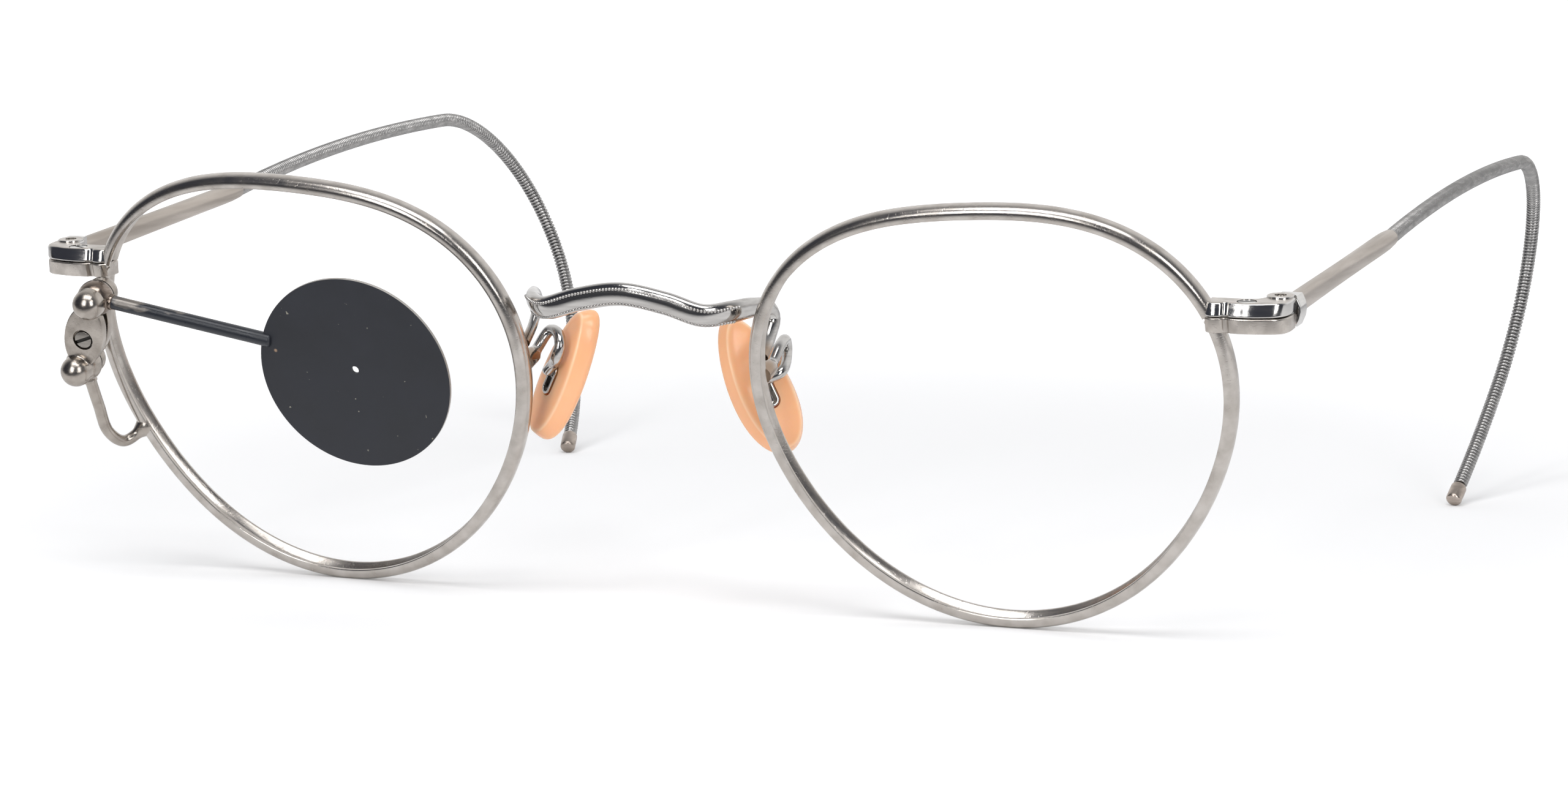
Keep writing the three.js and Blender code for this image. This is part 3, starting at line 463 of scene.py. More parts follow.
# %% Eyewires in place
along = Vector((math.cos(FACE_WRAP), math.sin(FACE_WRAP), 0))
ahead_of_lens = Vector((math.sin(FACE_WRAP), -math.cos(FACE_WRAP), 0))
eye_turn = Matrix((along, (0, 0, 1), ahead_of_lens)).transposed().to_4x4()
eye_place = Matrix.Translation(Vector((EYE_CENTRES / 2, 0, 0)) * MM) @ eye_turn
other_eyewire = copy_of(eyewire)
for word, piece, place in (("left", eyewire, eye_place), ("right", other_eyewire, mirror @ eye_place)):
    seat(piece, f"eyewire_{word}", front @ place, "front", [f"rim_{word}"], eyewire_metal)

# %% [markdown]
# ## Bent wires
# Several pieces are round wire bent by hand: the pad arms and the bracket of the clamp. A smooth line
# through a few bend points is what a pair of pliers makes. Blender's own curves could run through the
# points, but the CAD frame used a Catmull-Rom line, so the same line is computed here and the wire lies
# exactly where the solid does. A poly curve with a round bevel then becomes the wire, with its own radius
# at each point.


# %% Bent wires
def through(bends, steps):
    """Smooth line through the bend points, with the given number of steps between two of them."""
    bends = [Vector(bend) for bend in bends]
    ends = [2 * bends[0] - bends[1], *bends, 2 * bends[-1] - bends[-2]]
    line = []
    for a, b, c, d in zip(ends, ends[1:], ends[2:], ends[3:]):
        before, here, after = [math.sqrt((q - p).length) for p, q in ((a, b), (b, c), (c, d))]
        leave = ((b - a) / before - (c - a) / (before + here) + (c - b) / here) * here
        arrive = ((c - b) / here - (d - b) / (here + after) + (d - c) / after) * here
        for k in range(steps):
            t = k / steps
            curl = (2 * b - 2 * c + leave + arrive) * t + (3 * c - 3 * b - 2 * leave - arrive)
            line.append(b + leave * t + curl * t * t)
    return [*line, bends[-1]]


def length_of(line):
    return sum((q - p).length for p, q in zip(line, line[1:]))


def even(line, count):
    """The same line with its points at even distances."""
    total = length_of(line)
    points = [line[0]]
    walked = 0
    for p, q in zip(line, line[1:]):
        step = (q - p).length
        while len(points) < count and walked + step >= len(points) * total / count:
            points.append(p.lerp(q, (len(points) * total / count - walked) / step))
        walked += step
    return [*points, line[-1]]


def ease(t, start, end):
    """Goes smoothly from 0 at start to 1 at end."""
    t = min(max((t - start) / (end - start), 0), 1)
    return t * t * (3 - 2 * t)


def round_wire(name, line, radii, smoothness=5):
    """Round wire along a line, with the wire's radius at each point."""
    curve = bench_curve(name, line, radii=radii)
    curve.data.bevel_depth = 1
    curve.data.bevel_resolution = smoothness
    curve.data.use_fill_caps = True
    return tidy_mesh(as_mesh(curve))


# %% [markdown]
# ## A loft from rings
# Where a bar changes from flat to round along its way, a curve's bevel isn't enough. Circles could be
# joined by the bridge operator, but their points must then line up. Here one circle is drawn out into a
# straight tube, ring by ring, with the extrude operator, and each ring is then laid on its own station
# along the piece, stretched to that place's width and height. The tube is closed from the start, so nothing
# has to be sealed.


# %% Loft tool
def loft(name, stations, sides=20):
    """A closed tube whose rings lie on stations of (centre, half width vector, half height vector)."""
    clear()
    bpy.ops.mesh.primitive_circle_add(vertices=sides, radius=1, fill_type="NGON", location=(0, 0, 0))
    piece = bpy.context.object
    bpy.ops.object.mode_set(mode="EDIT")
    bpy.ops.mesh.select_all(action="SELECT")
    for _ in stations[1:]:
        bpy.ops.mesh.extrude_region_move(TRANSFORM_OT_translate={"value": (0, 0, 1)})
    bpy.ops.object.mode_set(mode="OBJECT")
    for vertex in piece.data.vertices:
        centre, wide, tall = stations[round(vertex.co.z)]
        vertex.co = centre + vertex.co.x * wide + vertex.co.y * tall
    piece.name = name
    return tidy_mesh(piece)


# %% [markdown]
# ## Saddle bridge
# The bridge is one forged bar: half-round, with two rows of tiny beads rolled along its face. At each end
# it narrows, curls back and comes down as a strap behind the eyewire. The loft's rings turn with the bar,
# each turned from the one before by the smallest angle, so the bar doesn't roll over where the strap dives.
# One half's stations are worked out, and the other half's are their mirror image, since the bar was forged
# in a symmetric die.

# %% Bridge line
BRIDGE_RISE = 11.15
BRIDGE_FORWARD = 2.5
NASAL_X = EYE_CENTRES / 2 - eye_radius(math.pi) * math.cos(FACE_WRAP)
NASAL_BACK = -eye_radius(math.pi) * math.sin(FACE_WRAP) + RIM_DEPTH / 2
STRAP_FOOT = 3.9
bridge_bends = [
    (0, -BRIDGE_FORWARD, BRIDGE_RISE),
    (0.365 * NASAL_X, -BRIDGE_FORWARD, BRIDGE_RISE - 0.75),
    (0.65 * NASAL_X, -BRIDGE_FORWARD + 0.2, BRIDGE_RISE - 1.9),
    (NASAL_X - 2.3, -BRIDGE_FORWARD + 2.0, BRIDGE_RISE - 2.3),
    (NASAL_X - 1.1, NASAL_BACK + 1.7, BRIDGE_RISE - 2.95),
    (NASAL_X - 0.3, NASAL_BACK + 3.7, BRIDGE_RISE - 3.8),
    (NASAL_X, NASAL_BACK + 4.2, STRAP_FOOT + 2.1),
    (NASAL_X, NASAL_BACK + 2.7, STRAP_FOOT + 0.9),
    (NASAL_X, NASAL_BACK + 0.3, STRAP_FOOT),
]
right_bends = [(-x, y, z) for x, y, z in reversed(bridge_bends[1:])]
BRIDGE_STEPS = 120
bridge_line = even(through(right_bends + bridge_bends, 24), BRIDGE_STEPS)
print("bridge's bar in mm:", round(length_of(bridge_line), 2))


def frames_along(line, first_wide):
    """At each point the direction of travel and a width direction that turns as little as it can."""
    frames = []
    wide = Vector(first_wide)
    for i, point in enumerate(line):
        before = line[max(i - 1, 0)]
        after = line[min(i + 1, len(line) - 1)]
        travel = (after - before).normalized()
        wide = (wide - travel * wide.dot(travel)).normalized()
        frames.append((point, travel, wide))
    return frames


# %% Bridge bar
BRIDGE_TALL = 2.35
BRIDGE_THICK = 1.5
STRAP_TALL = 1.3
STRAP_THICK = 0.95
bar_frames = frames_along(bridge_line[BRIDGE_STEPS // 2 :], (0, 1, 0))
half_bar = []
for i, (point, travel, wide) in enumerate(bar_frames):
    share = ease(i / (len(bar_frames) - 1), 0.5, 0.88)
    thick = BRIDGE_THICK + (STRAP_THICK - BRIDGE_THICK) * share
    tall = BRIDGE_TALL + (STRAP_TALL - BRIDGE_TALL) * share
    half_bar.append((point, wide * thick / 2, wide.cross(travel) * tall / 2))
other_half = [tuple(Vector((-v.x, v.y, v.z)) for v in station) for station in reversed(half_bar[1:])]
bridge_bar = loft("bridge_bar", other_half + half_bar, sides=28)

# %% [markdown]
# ## Beads on the bridge
# Each row of beads is one small sphere, repeated. An Array modifier lays copies in a straight line and a
# Curve modifier bends the line onto the bar, which is how the real rows were made: rolled on flat stock,
# then bent. The rows stop where the bar starts to curl.

# %% Bead rows
BEAD_RADIUS = 0.16
BEAD_STEP = 0.33
BEAD_INSET = 0.42
BEADED_STEPS = 33
bead_rows = []
for edge in (1, -1):
    height = edge * (BRIDGE_TALL / 2 - BEAD_INSET)
    depth = BRIDGE_THICK / 2 * math.sqrt(1 - (2 * height / BRIDGE_TALL) ** 2) - 0.01
    half_row = []
    for point, travel, wide in bar_frames[:BEADED_STEPS]:
        half_row.append(point - wide * depth + wide.cross(travel) * height)
    row_line = [Vector((-p.x, p.y, p.z)) for p in reversed(half_row[1:])] + half_row
    row_curve = bench_curve("bead_row", row_line)
    bpy.ops.mesh.primitive_ico_sphere_add(subdivisions=2, radius=BEAD_RADIUS, location=(0, 0, 0))
    beads = bpy.context.object
    count = int(length_of(row_line) / BEAD_STEP)
    apply(beads, "ARRAY", count=count, use_relative_offset=False, use_constant_offset=True,
          constant_offset_displace=(BEAD_STEP, 0, 0))
    apply(beads, "CURVE", object=row_curve, deform_axis="POS_X")
    discard(row_curve)
    bead_rows.append(beads)
    print("beads in a row:", count)
bridge = join(bridge_bar, *bead_rows)
ARM_FOOT_UP = 2.1
feet = []
for side in (Matrix(), mirror):
    for up in (STRAP_FOOT, ARM_FOOT_UP):
        feet.append(front @ side @ (Vector((NASAL_X, NASAL_BACK + 0.3, up)) * MM))
brazed_metal = white_metal(
    "brazed_metal", (0.46, 0.445, 0.43), (0.60, 0.585, 0.565), 0.09, 0.17, 0.3, 0.0015, brazed=feet
)
seat(bridge, "saddle_bridge", front, "front", ["bridge"], brazed_metal, angle=50)

# %% [markdown]
# ## Endpieces
# At the temple side each eyewire ends in a small block that is split level, so that the closing screw can
# draw the wire shut on a lens. The upper half is polished like a mirror and the lower half is satin. Its
# plan, with the collar at the eyewire and the round lug at the hinge, is a flat curve. A flat curve has
# thickness and rounded edges as its own settings, so the block needs little modelling before the holes are
# cut in it. The two front walls then lean back from the split, and meet in a shallow ridge. So the upper
# one mirrors the dark room with its soft boxes and the lower one the light floor, as on the real frame.

# %% Endpiece plan
HINGE_X = (pins[0] - pins[1]).length / 2 / MM
PANTOSCOPIC = math.radians(13.2)
END_FRONT = 4.1
END_BACK = 1.5
LUG_RADIUS = 1.3
hinge_at = Vector((HINGE_X, HINGE_Y, HINGE_Z)) * MM
hinge_local = Matrix.Translation(hinge_at) @ Matrix.Rotation(-PANTOSCOPIC, 4, "X")
hinge_left = front @ hinge_local
hinge_right = front @ mirror @ hinge_local
end_inner = EYE_CENTRES / 2 + eye_radius(SPLIT_ANGLE) * math.cos(SPLIT_ANGLE) - HINGE_X


def bent(start, pull, end, steps=8):
    """Flat points of a curve that leaves start and reaches end, drawn towards pull."""
    a, b, c = (Vector((*point, 0)) for point in (start, pull, end))
    return [a.lerp(b, k / steps).lerp(b.lerp(c, k / steps), k / steps) for k in range(steps + 1)]


wall = -END_FRONT
LUG_STEPS = 22
LUG_TURN = 1.08 * math.pi
plan = [Vector((end_inner - 0.3, wall + 0.15, 0))]
plan += bent((end_inner, wall - 0.1), (end_inner + 0.7, wall - 0.3), (end_inner + 1.2, wall))
plan += bent((end_inner + 1.35, wall + 0.22), (end_inner + 1.6, wall + 0.32), (end_inner + 1.95, wall))
plan += bent((end_inner + 2.1, wall - 0.02), (-1.9, wall - 0.25), (-0.6, wall + 0.25))
plan += bent((-0.5, wall + 0.28), (LUG_RADIUS, wall + 0.6), (LUG_RADIUS + 0.1, -1.4))
plan += [Vector((LUG_RADIUS + 0.1, -0.2, 0))]
for k in range(1, LUG_STEPS + 1):
    lug_angle = k / LUG_STEPS * LUG_TURN
    plan.append(Vector((LUG_RADIUS * math.cos(lug_angle), LUG_RADIUS * math.sin(lug_angle), 0)))
plan += bent((-1.5, -0.9), (-1.9, -END_BACK), (-2.8, -END_BACK), 5)
plan += [Vector((end_inner - 0.3, -END_BACK, 0))]
print("points of the endpiece's plan:", len(plan))


def flat_block(name, outline, bottom, top, edge):
    """A block from a flat outline, with rounded edges that stay inside the outline."""
    curve = bench_curve(name, outline, closed=True, flat=True)
    curve.data.fill_mode = "BOTH"
    curve.data.extrude = (top - bottom) / 2 - edge
    curve.data.bevel_depth = edge
    curve.data.bevel_resolution = 5
    curve.data.offset = -edge
    curve.location.z = (top + bottom) / 2
    piece = as_mesh(curve)
    bpy.ops.object.transform_apply()
    return tidy_mesh(piece)


def drum(radius, bottom, top, x=0, y=0, sides=40):
    """A plain cylinder on the bench, as a cutting tool or the start of a turned piece."""
    clear()
    bpy.ops.mesh.primitive_cylinder_add(
        vertices=sides, radius=radius, depth=top - bottom, location=(x, y, (top + bottom) / 2)
    )
    bpy.ops.object.transform_apply()
    return bpy.context.object


def soften(piece, width, segments):
    """Rounds the sharp edges, as tumbling does."""
    return apply(piece, "BEVEL", width=width, segments=segments, limit_method="ANGLE")


def seat_pair(piece, name, places, body, node, finish, angle=40):
    """Seats a piece on the left, and a copy with its own mesh on the right."""
    pieces = piece, copy_of(piece)
    for piece, place, word in zip(pieces, places, ("left", "right")):
        seat(piece, f"{name}_{word[0]}", place, body.format(word), [f"{node}_{word}"], finish, angle)


# %% Endpiece halves
CLOSING_X = -2.4
CLOSING_Y = -(END_FRONT + END_BACK) / 2
END_UPPER = 1.35
END_LOWER = 1.5
RAKE_FROM = -2.6
RAKE_OVER = 1.3


def raked(piece, slope):
    """Leans the front wall back from the split line, so that the two halves meet in a shallow ridge."""
    for vertex in piece.data.vertices:
        share = min(max((RAKE_FROM - vertex.co.y) / RAKE_OVER, 0), 1)
        vertex.co.y += slope * abs(vertex.co.z) * share
    return piece


upper_half = raked(flat_block("upper_half", plan, 0.05, END_UPPER, 0.2), 0.27)
boss = drum(LUG_RADIUS - 0.05, END_UPPER - 0.4, END_UPPER + 0.14)
soften(boss, 0.07, 3)
upper_half = cut(upper_half, boss, "UNION")
cut(upper_half, drum(LUG_RADIUS + 0.1, -0.58, 0.58))
cut(upper_half, drum(0.55, 0, 3))
cut(upper_half, drum(0.91, END_UPPER - 0.55, 3, CLOSING_X, CLOSING_Y))
lower_half = raked(flat_block("lower_half", plan, -END_LOWER, -0.05, 0.16), 0.25)
cut(lower_half, drum(LUG_RADIUS + 0.1, -0.58, 0.58))
cut(lower_half, drum(0.88, -3, -END_LOWER + 0.4))
upper_half.data.materials.append(bright_metal)
upper_half.data.materials.append(satin_metal)
for face in upper_half.data.polygons:
    face.material_index = int(face.normal.z > 0.8)
hinges = hinge_left, hinge_right
seat_pair(upper_half, "endpiece_upper", hinges, "front", "endpiece_upper", bright_metal, 30)
seat_pair(lower_half, "endpiece_lower", hinges, "front", "endpiece_lower", satin_metal, 30)

# %% [markdown]
# ## Screws
# The closing screw sits in a counterbore on top of the upper half, and its slot shows. The hinge screw
# comes from below, and its end is the dark spot in the boss. A turned screw is a cylinder whose edges are
# softened by a Bevel modifier, and the slot is cut by a small box, as a saw would cut it.


# %% Screws
# The near-black finish for screw slots is painted shade: the slot faces are darkened where the slot's depth
# would shade them.
painted_slot_shade = shade(new_finish("painted_slot_shade")[0], {"Base Color": (0.03, 0.027, 0.024), "Roughness": 0.7})


def slotted(piece, finish, radius, top, width=0.3, deep=0.28, angle=0.0):
    """Saws a slot across a head. The faces of the slot get a near-black finish: painted shade in the narrow
    slot.
    """
    saw = (3 * radius, width, 2 * deep)
    bpy.ops.mesh.primitive_cube_add(size=1, location=(0, 0, top), rotation=(0, 0, angle), scale=saw)
    cut(piece, bpy.context.object)
    piece.data.materials.append(finish)
    piece.data.materials.append(painted_slot_shade)
    for face in piece.data.polygons:
        aside = abs(face.center.y * math.cos(angle) - face.center.x * math.sin(angle))
        face.material_index = int(aside < width / 2 + 0.01 and face.center.z > top - deep - 0.01)
    return piece


CLOSING_HEAD = 0.85
SHANK = 0.5
closing = drum(CLOSING_HEAD, END_UPPER - 0.5, END_UPPER - 0.02)
soften(closing, 0.06, 2)
slotted(closing, bright_metal, CLOSING_HEAD, END_UPPER, angle=math.radians(25))
closing = join(closing, drum(SHANK, -END_LOWER + 0.1, END_UPPER - 0.45))
closing.data.transform(Matrix.Translation((CLOSING_X, CLOSING_Y, 0)))
hinge_pin = drum(SHANK, -END_LOWER + 0.3, END_UPPER - 0.12)
soften(hinge_pin, 0.05, 2)
hinge_head = drum(0.8, -END_LOWER + 0.02, -END_LOWER + 0.35)
soften(hinge_head, 0.06, 2)
hinge_pin = join(hinge_pin, hinge_head)
seat_pair(closing, "screw_closing", hinges, "front", "closing_screw", bright_metal, 30)
seat_pair(hinge_pin, "screw_hinge", hinges, "front", "hinge_screw", satin_metal, 30)

# %% [markdown]
# ## Temple shafts
# The temple starts as a shield-shaped butt that closes against the endpiece, with a tongue between the
# lugs. From it runs a flat bar that slowly turns round, to take the cable. The butt is a flat outline
# pushed back along the temple, and the bar is a loft of stretched circles. Both are joined as one piece,
# since they are one forging.

# %% Temple shaft
BUTT_OUT = 1.8
BUTT_LONG = 2.4
SHAFT_LONG = 36.0
SHAFT_OFFSET = 0.25
shield = [
    (-0.5, -END_LOWER, 0),
    (BUTT_OUT - 0.45, -END_LOWER, 0),
    (BUTT_OUT - 0.12, -0.75, 0),
    (BUTT_OUT, -0.05, 0),
    (BUTT_OUT - 0.12, 0.65, 0),
    (BUTT_OUT - 0.45, END_UPPER, 0),
    (-0.5, END_UPPER, 0),
]
butt = flat_block("butt", [Vector(p) for p in shield], 0, BUTT_LONG - 0.3, 0.13)
butt.data.transform(Matrix.Translation((0, BUTT_LONG, 0)) @ QUARTER_TURN)
cut(butt, drum(LUG_RADIUS + 0.13, -5, 5))
tongue = drum(1.15, -0.5, 0.5)
bpy.ops.mesh.primitive_cube_add(size=1, location=(0.1, 1.0, 0), scale=(1.4, 2.0, 1.0))
tongue_bar = bpy.context.object
bpy.ops.object.transform_apply()
SHAFT_STEPS = 18
SHAFT_TALL = 2.2
SHAFT_THICK = 1.2
SHAFT_ROUND = 1.9
SHAFT_NECK = 0.22
SHAFT_START = BUTT_LONG - 0.6
SQUARENESS = 2.8
bar = []
for k in range(SHAFT_STEPS + 1):
    t = k / SHAFT_STEPS
    neck = SHAFT_NECK * ease(t, 0.93, 1)
    tall = SHAFT_TALL + (SHAFT_ROUND - SHAFT_TALL) * t - neck
    thick = SHAFT_THICK + (SHAFT_ROUND - SHAFT_THICK) * ease(t, 0.4, 1) - neck
    centre = Vector((SHAFT_OFFSET, SHAFT_START + (SHAFT_LONG - SHAFT_START) * t, 0))
    bar.append((centre, Vector((thick / 2, 0, 0)), Vector((0, 0, tall / 2))))
shaft_bar = loft("shaft_bar", bar, sides=28)
for vertex in shaft_bar.data.vertices:
    share = (vertex.co.y - BUTT_LONG) / (SHAFT_LONG - BUTT_LONG)
    power = 2 / (SQUARENESS - 0.8 * share)
    k = round(SHAFT_STEPS * (vertex.co.y - SHAFT_START) / (SHAFT_LONG - SHAFT_START))
    half_wide, half_tall = bar[k][1].length, bar[k][2].length
    across = (vertex.co.x - SHAFT_OFFSET) / half_wide
    upright = vertex.co.z / half_tall
    vertex.co.x = SHAFT_OFFSET + half_wide * math.copysign(abs(across) ** power, across)
    vertex.co.z = half_tall * math.copysign(abs(upright) ** power, upright)
shaft_metal = white_metal(
    "shaft_metal", (0.38, 0.335, 0.295), (0.54, 0.485, 0.435), 0.26, 0.36, grain=(1.5, 0.10, 1.5)
)
shaft_bar.data.materials.append(shaft_metal)
butt.data.materials.append(bright_metal)
shaft = join(shaft_bar, butt, tongue, tongue_bar)
LEFT_SPLAY = math.radians(2.5)
temple_left = hinge_left @ Matrix.Rotation(-LEFT_SPLAY, 4, "Z")
temples = temple_left, hinge_right
seat_pair(shaft, "shaft", temples, "temple_{}", "temple_shaft", shaft_metal, 35)

# %% [markdown]
# ## Wound cables
# Behind the shaft the temple is a cable: fine wire wound close on a core, so that it springs round the ear.
# The turns are real geometry here. One small circle is wound into a straight coil by the Screw modifier,
# and a Curve modifier bends the coil round the ear, in the order in which such a cable is made. A bump
# pattern would be lighter, but it would slide on the bend and vanish in profile. The line it follows is
# three bends in one leaning plane: a slow one, a tight one over the ear and a wide one behind it. It ends
# where the tip stands on the table.

# %% Cable finish
cable_metal = white_metal("cable_metal", (0.30, 0.295, 0.29), (0.46, 0.45, 0.44), 0.22, 0.36)
tip_metal = white_metal("tip_metal", (0.34, 0.29, 0.25), (0.52, 0.45, 0.40), 0.25, 0.40)
print("cable finishes:", cable_metal.name, tip_metal.name)

# %% Cable line
CABLE_RADIUS = 0.78
TIP_RADIUS = 0.88
TIP_LONG = 1.6
TIP_CLEAR = 1.2 * TIP_RADIUS * MM


def cable_point(distance, lean, lift, bends):
    """Point of the cable and its heading, for a distance from the hinge pin."""
    lower = Vector((-math.sin(math.radians(lean)), 0, -math.cos(math.radians(lean))))
    point = Vector((SHAFT_OFFSET, SHAFT_LONG, 0))
    heading = -math.radians(lift)
    ahead_still = distance - SHAFT_LONG
    for turn, radius in bends:
        step = min(ahead_still, radius * math.radians(turn))
        turned = heading + step / radius
        point += Vector((0, radius * (math.sin(turned) - math.sin(heading)), 0))
        point += lower * radius * (math.cos(heading) - math.cos(turned))
        heading = turned
        ahead_still -= step
    return point, Vector((0, math.cos(heading), 0)) + lower * math.sin(heading)


def cable_end(place, hook):
    """Distance at which the tip's round end meets the table."""
    near, far = 110, 180
    for _ in range(40):
        middle = (near + far) / 2
        point, _heading = cable_point(middle, *hook)
        near, far = (middle, far) if (place @ (point * MM)).z > TIP_CLEAR else (near, middle)
    return near


# %% Wound cables and tips
WINDING = 0.40
WIRE_RADIUS = 0.20
CABLE_STEPS = 400
LEFT_HOOK = 9.8, 3.04, ((9.9, 315), (124, 16.9), (180, 51.6))
RIGHT_HOOK = 21.1, 3.35, ((8.7, 342), (115, 17.7), (180, 42.2))
for word, place, hook in zip(("left", "right"), temples, (LEFT_HOOK, RIGHT_HOOK)):
    end = cable_end(place, hook)
    start = SHAFT_LONG - 0.4
    stop = end - TIP_LONG + 0.2
    stations = [start + (stop - start) * k / CABLE_STEPS for k in range(CABLE_STEPS + 1)]
    line = [cable_point(station, *hook)[0] for station in stations]
    path = bench_curve("cable_path", line)
    clear()
    wire_at = (0, 0, CABLE_RADIUS - WIRE_RADIUS)
    bpy.ops.mesh.primitive_circle_add(
        vertices=7, radius=WIRE_RADIUS, location=wire_at, rotation=(math.radians(90), 0, 0)
    )
    coil = bpy.context.object
    bpy.ops.object.transform_apply()
    turns = int(length_of(line) / WINDING)
    apply(coil, "SCREW", axis="X", screw_offset=WINDING, iterations=turns, steps=14, render_steps=14,
          use_normal_calculate=True)
    apply(coil, "CURVE", object=path, deform_axis="POS_X")
    discard(path)
    tidy_mesh(coil, 0.0001)
    bpy.ops.object.mode_set(mode="EDIT")
    bpy.ops.mesh.fill_holes(sides=7)
    bpy.ops.object.mode_set(mode="OBJECT")
    body = f"temple_{word}"
    seat(coil, f"cable_{word[0]}", place, body, [f"temple_cable_{word}"], cable_metal, 60)
    tip = drum(TIP_RADIUS, -TIP_LONG, TIP_RADIUS * 0.98, sides=32)
    soften(tip, TIP_RADIUS * 0.45, 5)
    point, heading = cable_point(end, *hook)
    tip.data.transform(Matrix.Translation(point) @ heading.to_track_quat("Z", "Y").to_matrix().to_4x4())
    seat(tip, f"tip_{word[0]}", place, body, [f"cable_tip_{word}"], tip_metal)
    print(word, "cable turns:", turns)

# %% [markdown]
# ## Pad arms
# Each pad hangs on a bent wire. Its thick foot is soldered behind the eyewire, next to the bridge's strap,
# and from there it goes back, over, and forward again onto the pad's box. The left arm loops behind its
# pad's back edge. The right one has been bent in over its pad. Both are round wire all the way, so the
# bent-wire helper makes them, with a radius that falls from the foot to the wire.

# %% Pad's place
PAD_FLARE = 0.49
PAD_RAKE = 0.23
PAD_SPLAY = math.radians(46.5)
BOX_LONG = 3.1
BOX_WIDE = 1.4
BOX_DEEP = 1.3
ARM_WIRE = 0.55
ARM_FOOT = 0.85
FOOT_LONG = 2.3
ARM_REACH = 6.8
ARM_RISE = 3.0
pad_up = Vector((-PAD_FLARE, PAD_RAKE, 1)).normalized()
spread_out = Vector((math.sin(PAD_SPLAY), math.cos(PAD_SPLAY), 0))
pad_across = (spread_out - pad_up * spread_out.dot(pad_up)).normalized()
pad_nose = pad_up.cross(pad_across)
pad_at = Vector((NASAL_X - 1.61, 3.99, -1.61))
pad_turn = Matrix((pad_across, pad_nose, pad_up)).transposed().to_4x4()
pad_local = Matrix.Translation(pad_at * MM) @ pad_turn
pad_places = front @ pad_local, front @ mirror @ pad_local
print("left pad, from the front's origin in mm:", [round(v, 2) for v in pad_at])

# %% Pad arms
MOUTH_OFF = BOX_DEEP + ARM_WIRE
MOUTH_UP = BOX_LONG / 2 - 0.35


def pad_point(across, off, up):
    return pad_at + pad_across * across - pad_nose * off + pad_up * up


left_loop = [
    (NASAL_X + 0.2, ARM_REACH - 2.1, ARM_RISE),
    (NASAL_X + 0.15, ARM_REACH - 0.4, ARM_RISE - 0.1),
    (NASAL_X + 0.05, ARM_REACH, ARM_RISE - 1.2),
    pad_point(1.6, MOUTH_OFF + 0.6, MOUTH_UP),
    pad_point(-0.3, MOUTH_OFF, MOUTH_UP),
]
right_loop = [
    pad_point(1.6, 2.4, 4.3),
    pad_point(0.1, 2.3, 4.9),
    pad_point(-1.1, 2.3, 4.3),
    pad_point(-1.3, 2.2, 2.9),
    pad_point(-0.6, MOUTH_OFF, MOUTH_UP + 0.7),
    pad_point(0, MOUTH_OFF, MOUTH_UP - 0.6),
]
for word, side, loop in (("left", Matrix(), left_loop), ("right", mirror, right_loop)):
    foot = [(NASAL_X, NASAL_BACK - 0.2, ARM_FOOT_UP), (NASAL_X, NASAL_BACK + FOOT_LONG, ARM_FOOT_UP)]
    arm_line = even(through(foot + loop, 16), 90)
    foot_share = 0.8 * FOOT_LONG / length_of(arm_line)
    arm_radii = []
    for k in range(len(arm_line)):
        t = k / (len(arm_line) - 1)
        thin = ARM_FOOT + (ARM_WIRE - ARM_FOOT) * ease(t, foot_share, 1.6 * foot_share)
        arm_radii.append(thin * (1 - 0.35 * ease(t, 0.985, 1)))
    pad_arm = round_wire("pad_arm", arm_line, arm_radii)
    name = f"arm_of_pad_{word[0]}"
    seat(pad_arm, name, front @ side, "front", [f"pad_arm_{word}"], brazed_metal, 60)

# %% [markdown]
# ## Pad boxes and rivets
# The box is an oval cup of sheet metal. A rivet through its floor holds the pad loosely, so that the pad
# rocks. The cup starts as a cylinder: half of its points are slid up to make an oval, the open face is
# inset and pushed in to leave a wall, and the lips are bevelled. The rivet's head is a small sphere on a
# thin neck.


# %% Oval cups
def oval(name, wide, long, bottom, top):
    """An oval drum along z, longer in y."""
    piece = drum(wide / 2, bottom, top, sides=36)
    for vertex in piece.data.vertices:
        vertex.co.y += math.copysign((long - wide) / 2, vertex.co.y)
    piece.name = name
    return piece


def ball(radius, at, segments=40):
    clear()
    rings = segments // 2
    bpy.ops.mesh.primitive_uv_sphere_add(segments=segments, ring_count=rings, radius=radius, location=at)
    bpy.ops.object.transform_apply()
    return bpy.context.object


cup = oval("cup", BOX_WIDE, BOX_LONG, 0, BOX_DEEP)
pick(cup)
bpy.ops.object.mode_set(mode="EDIT")
mesh = bmesh.from_edit_mesh(cup.data)
for face in mesh.faces:
    face.select_set(face.normal.z > 0.9)
bmesh.update_edit_mesh(cup.data)
bpy.ops.mesh.inset(thickness=0.22, depth=0)
bpy.ops.mesh.extrude_region_move(TRANSFORM_OT_translate={"value": (0, 0, -BOX_DEEP + 0.25)})
bpy.ops.object.mode_set(mode="OBJECT")
soften(cup, 0.06, 3)
cup.data.transform(QUARTER_TURN)
rivet = ball(0.36, (0, -0.35, 0), 24)
rivet_neck = drum(0.2, -0.8, 0.35, sides=20)
rivet_neck.data.transform(QUARTER_TURN)
rivet = join(rivet, rivet_neck)
seat_pair(cup, "box_of_pad", pad_places, "front", "pad_box", bright_metal, 30)
seat_pair(rivet, "rivet_of_pad", pad_places, "pad_{}", "pad_rivet", bright_metal)
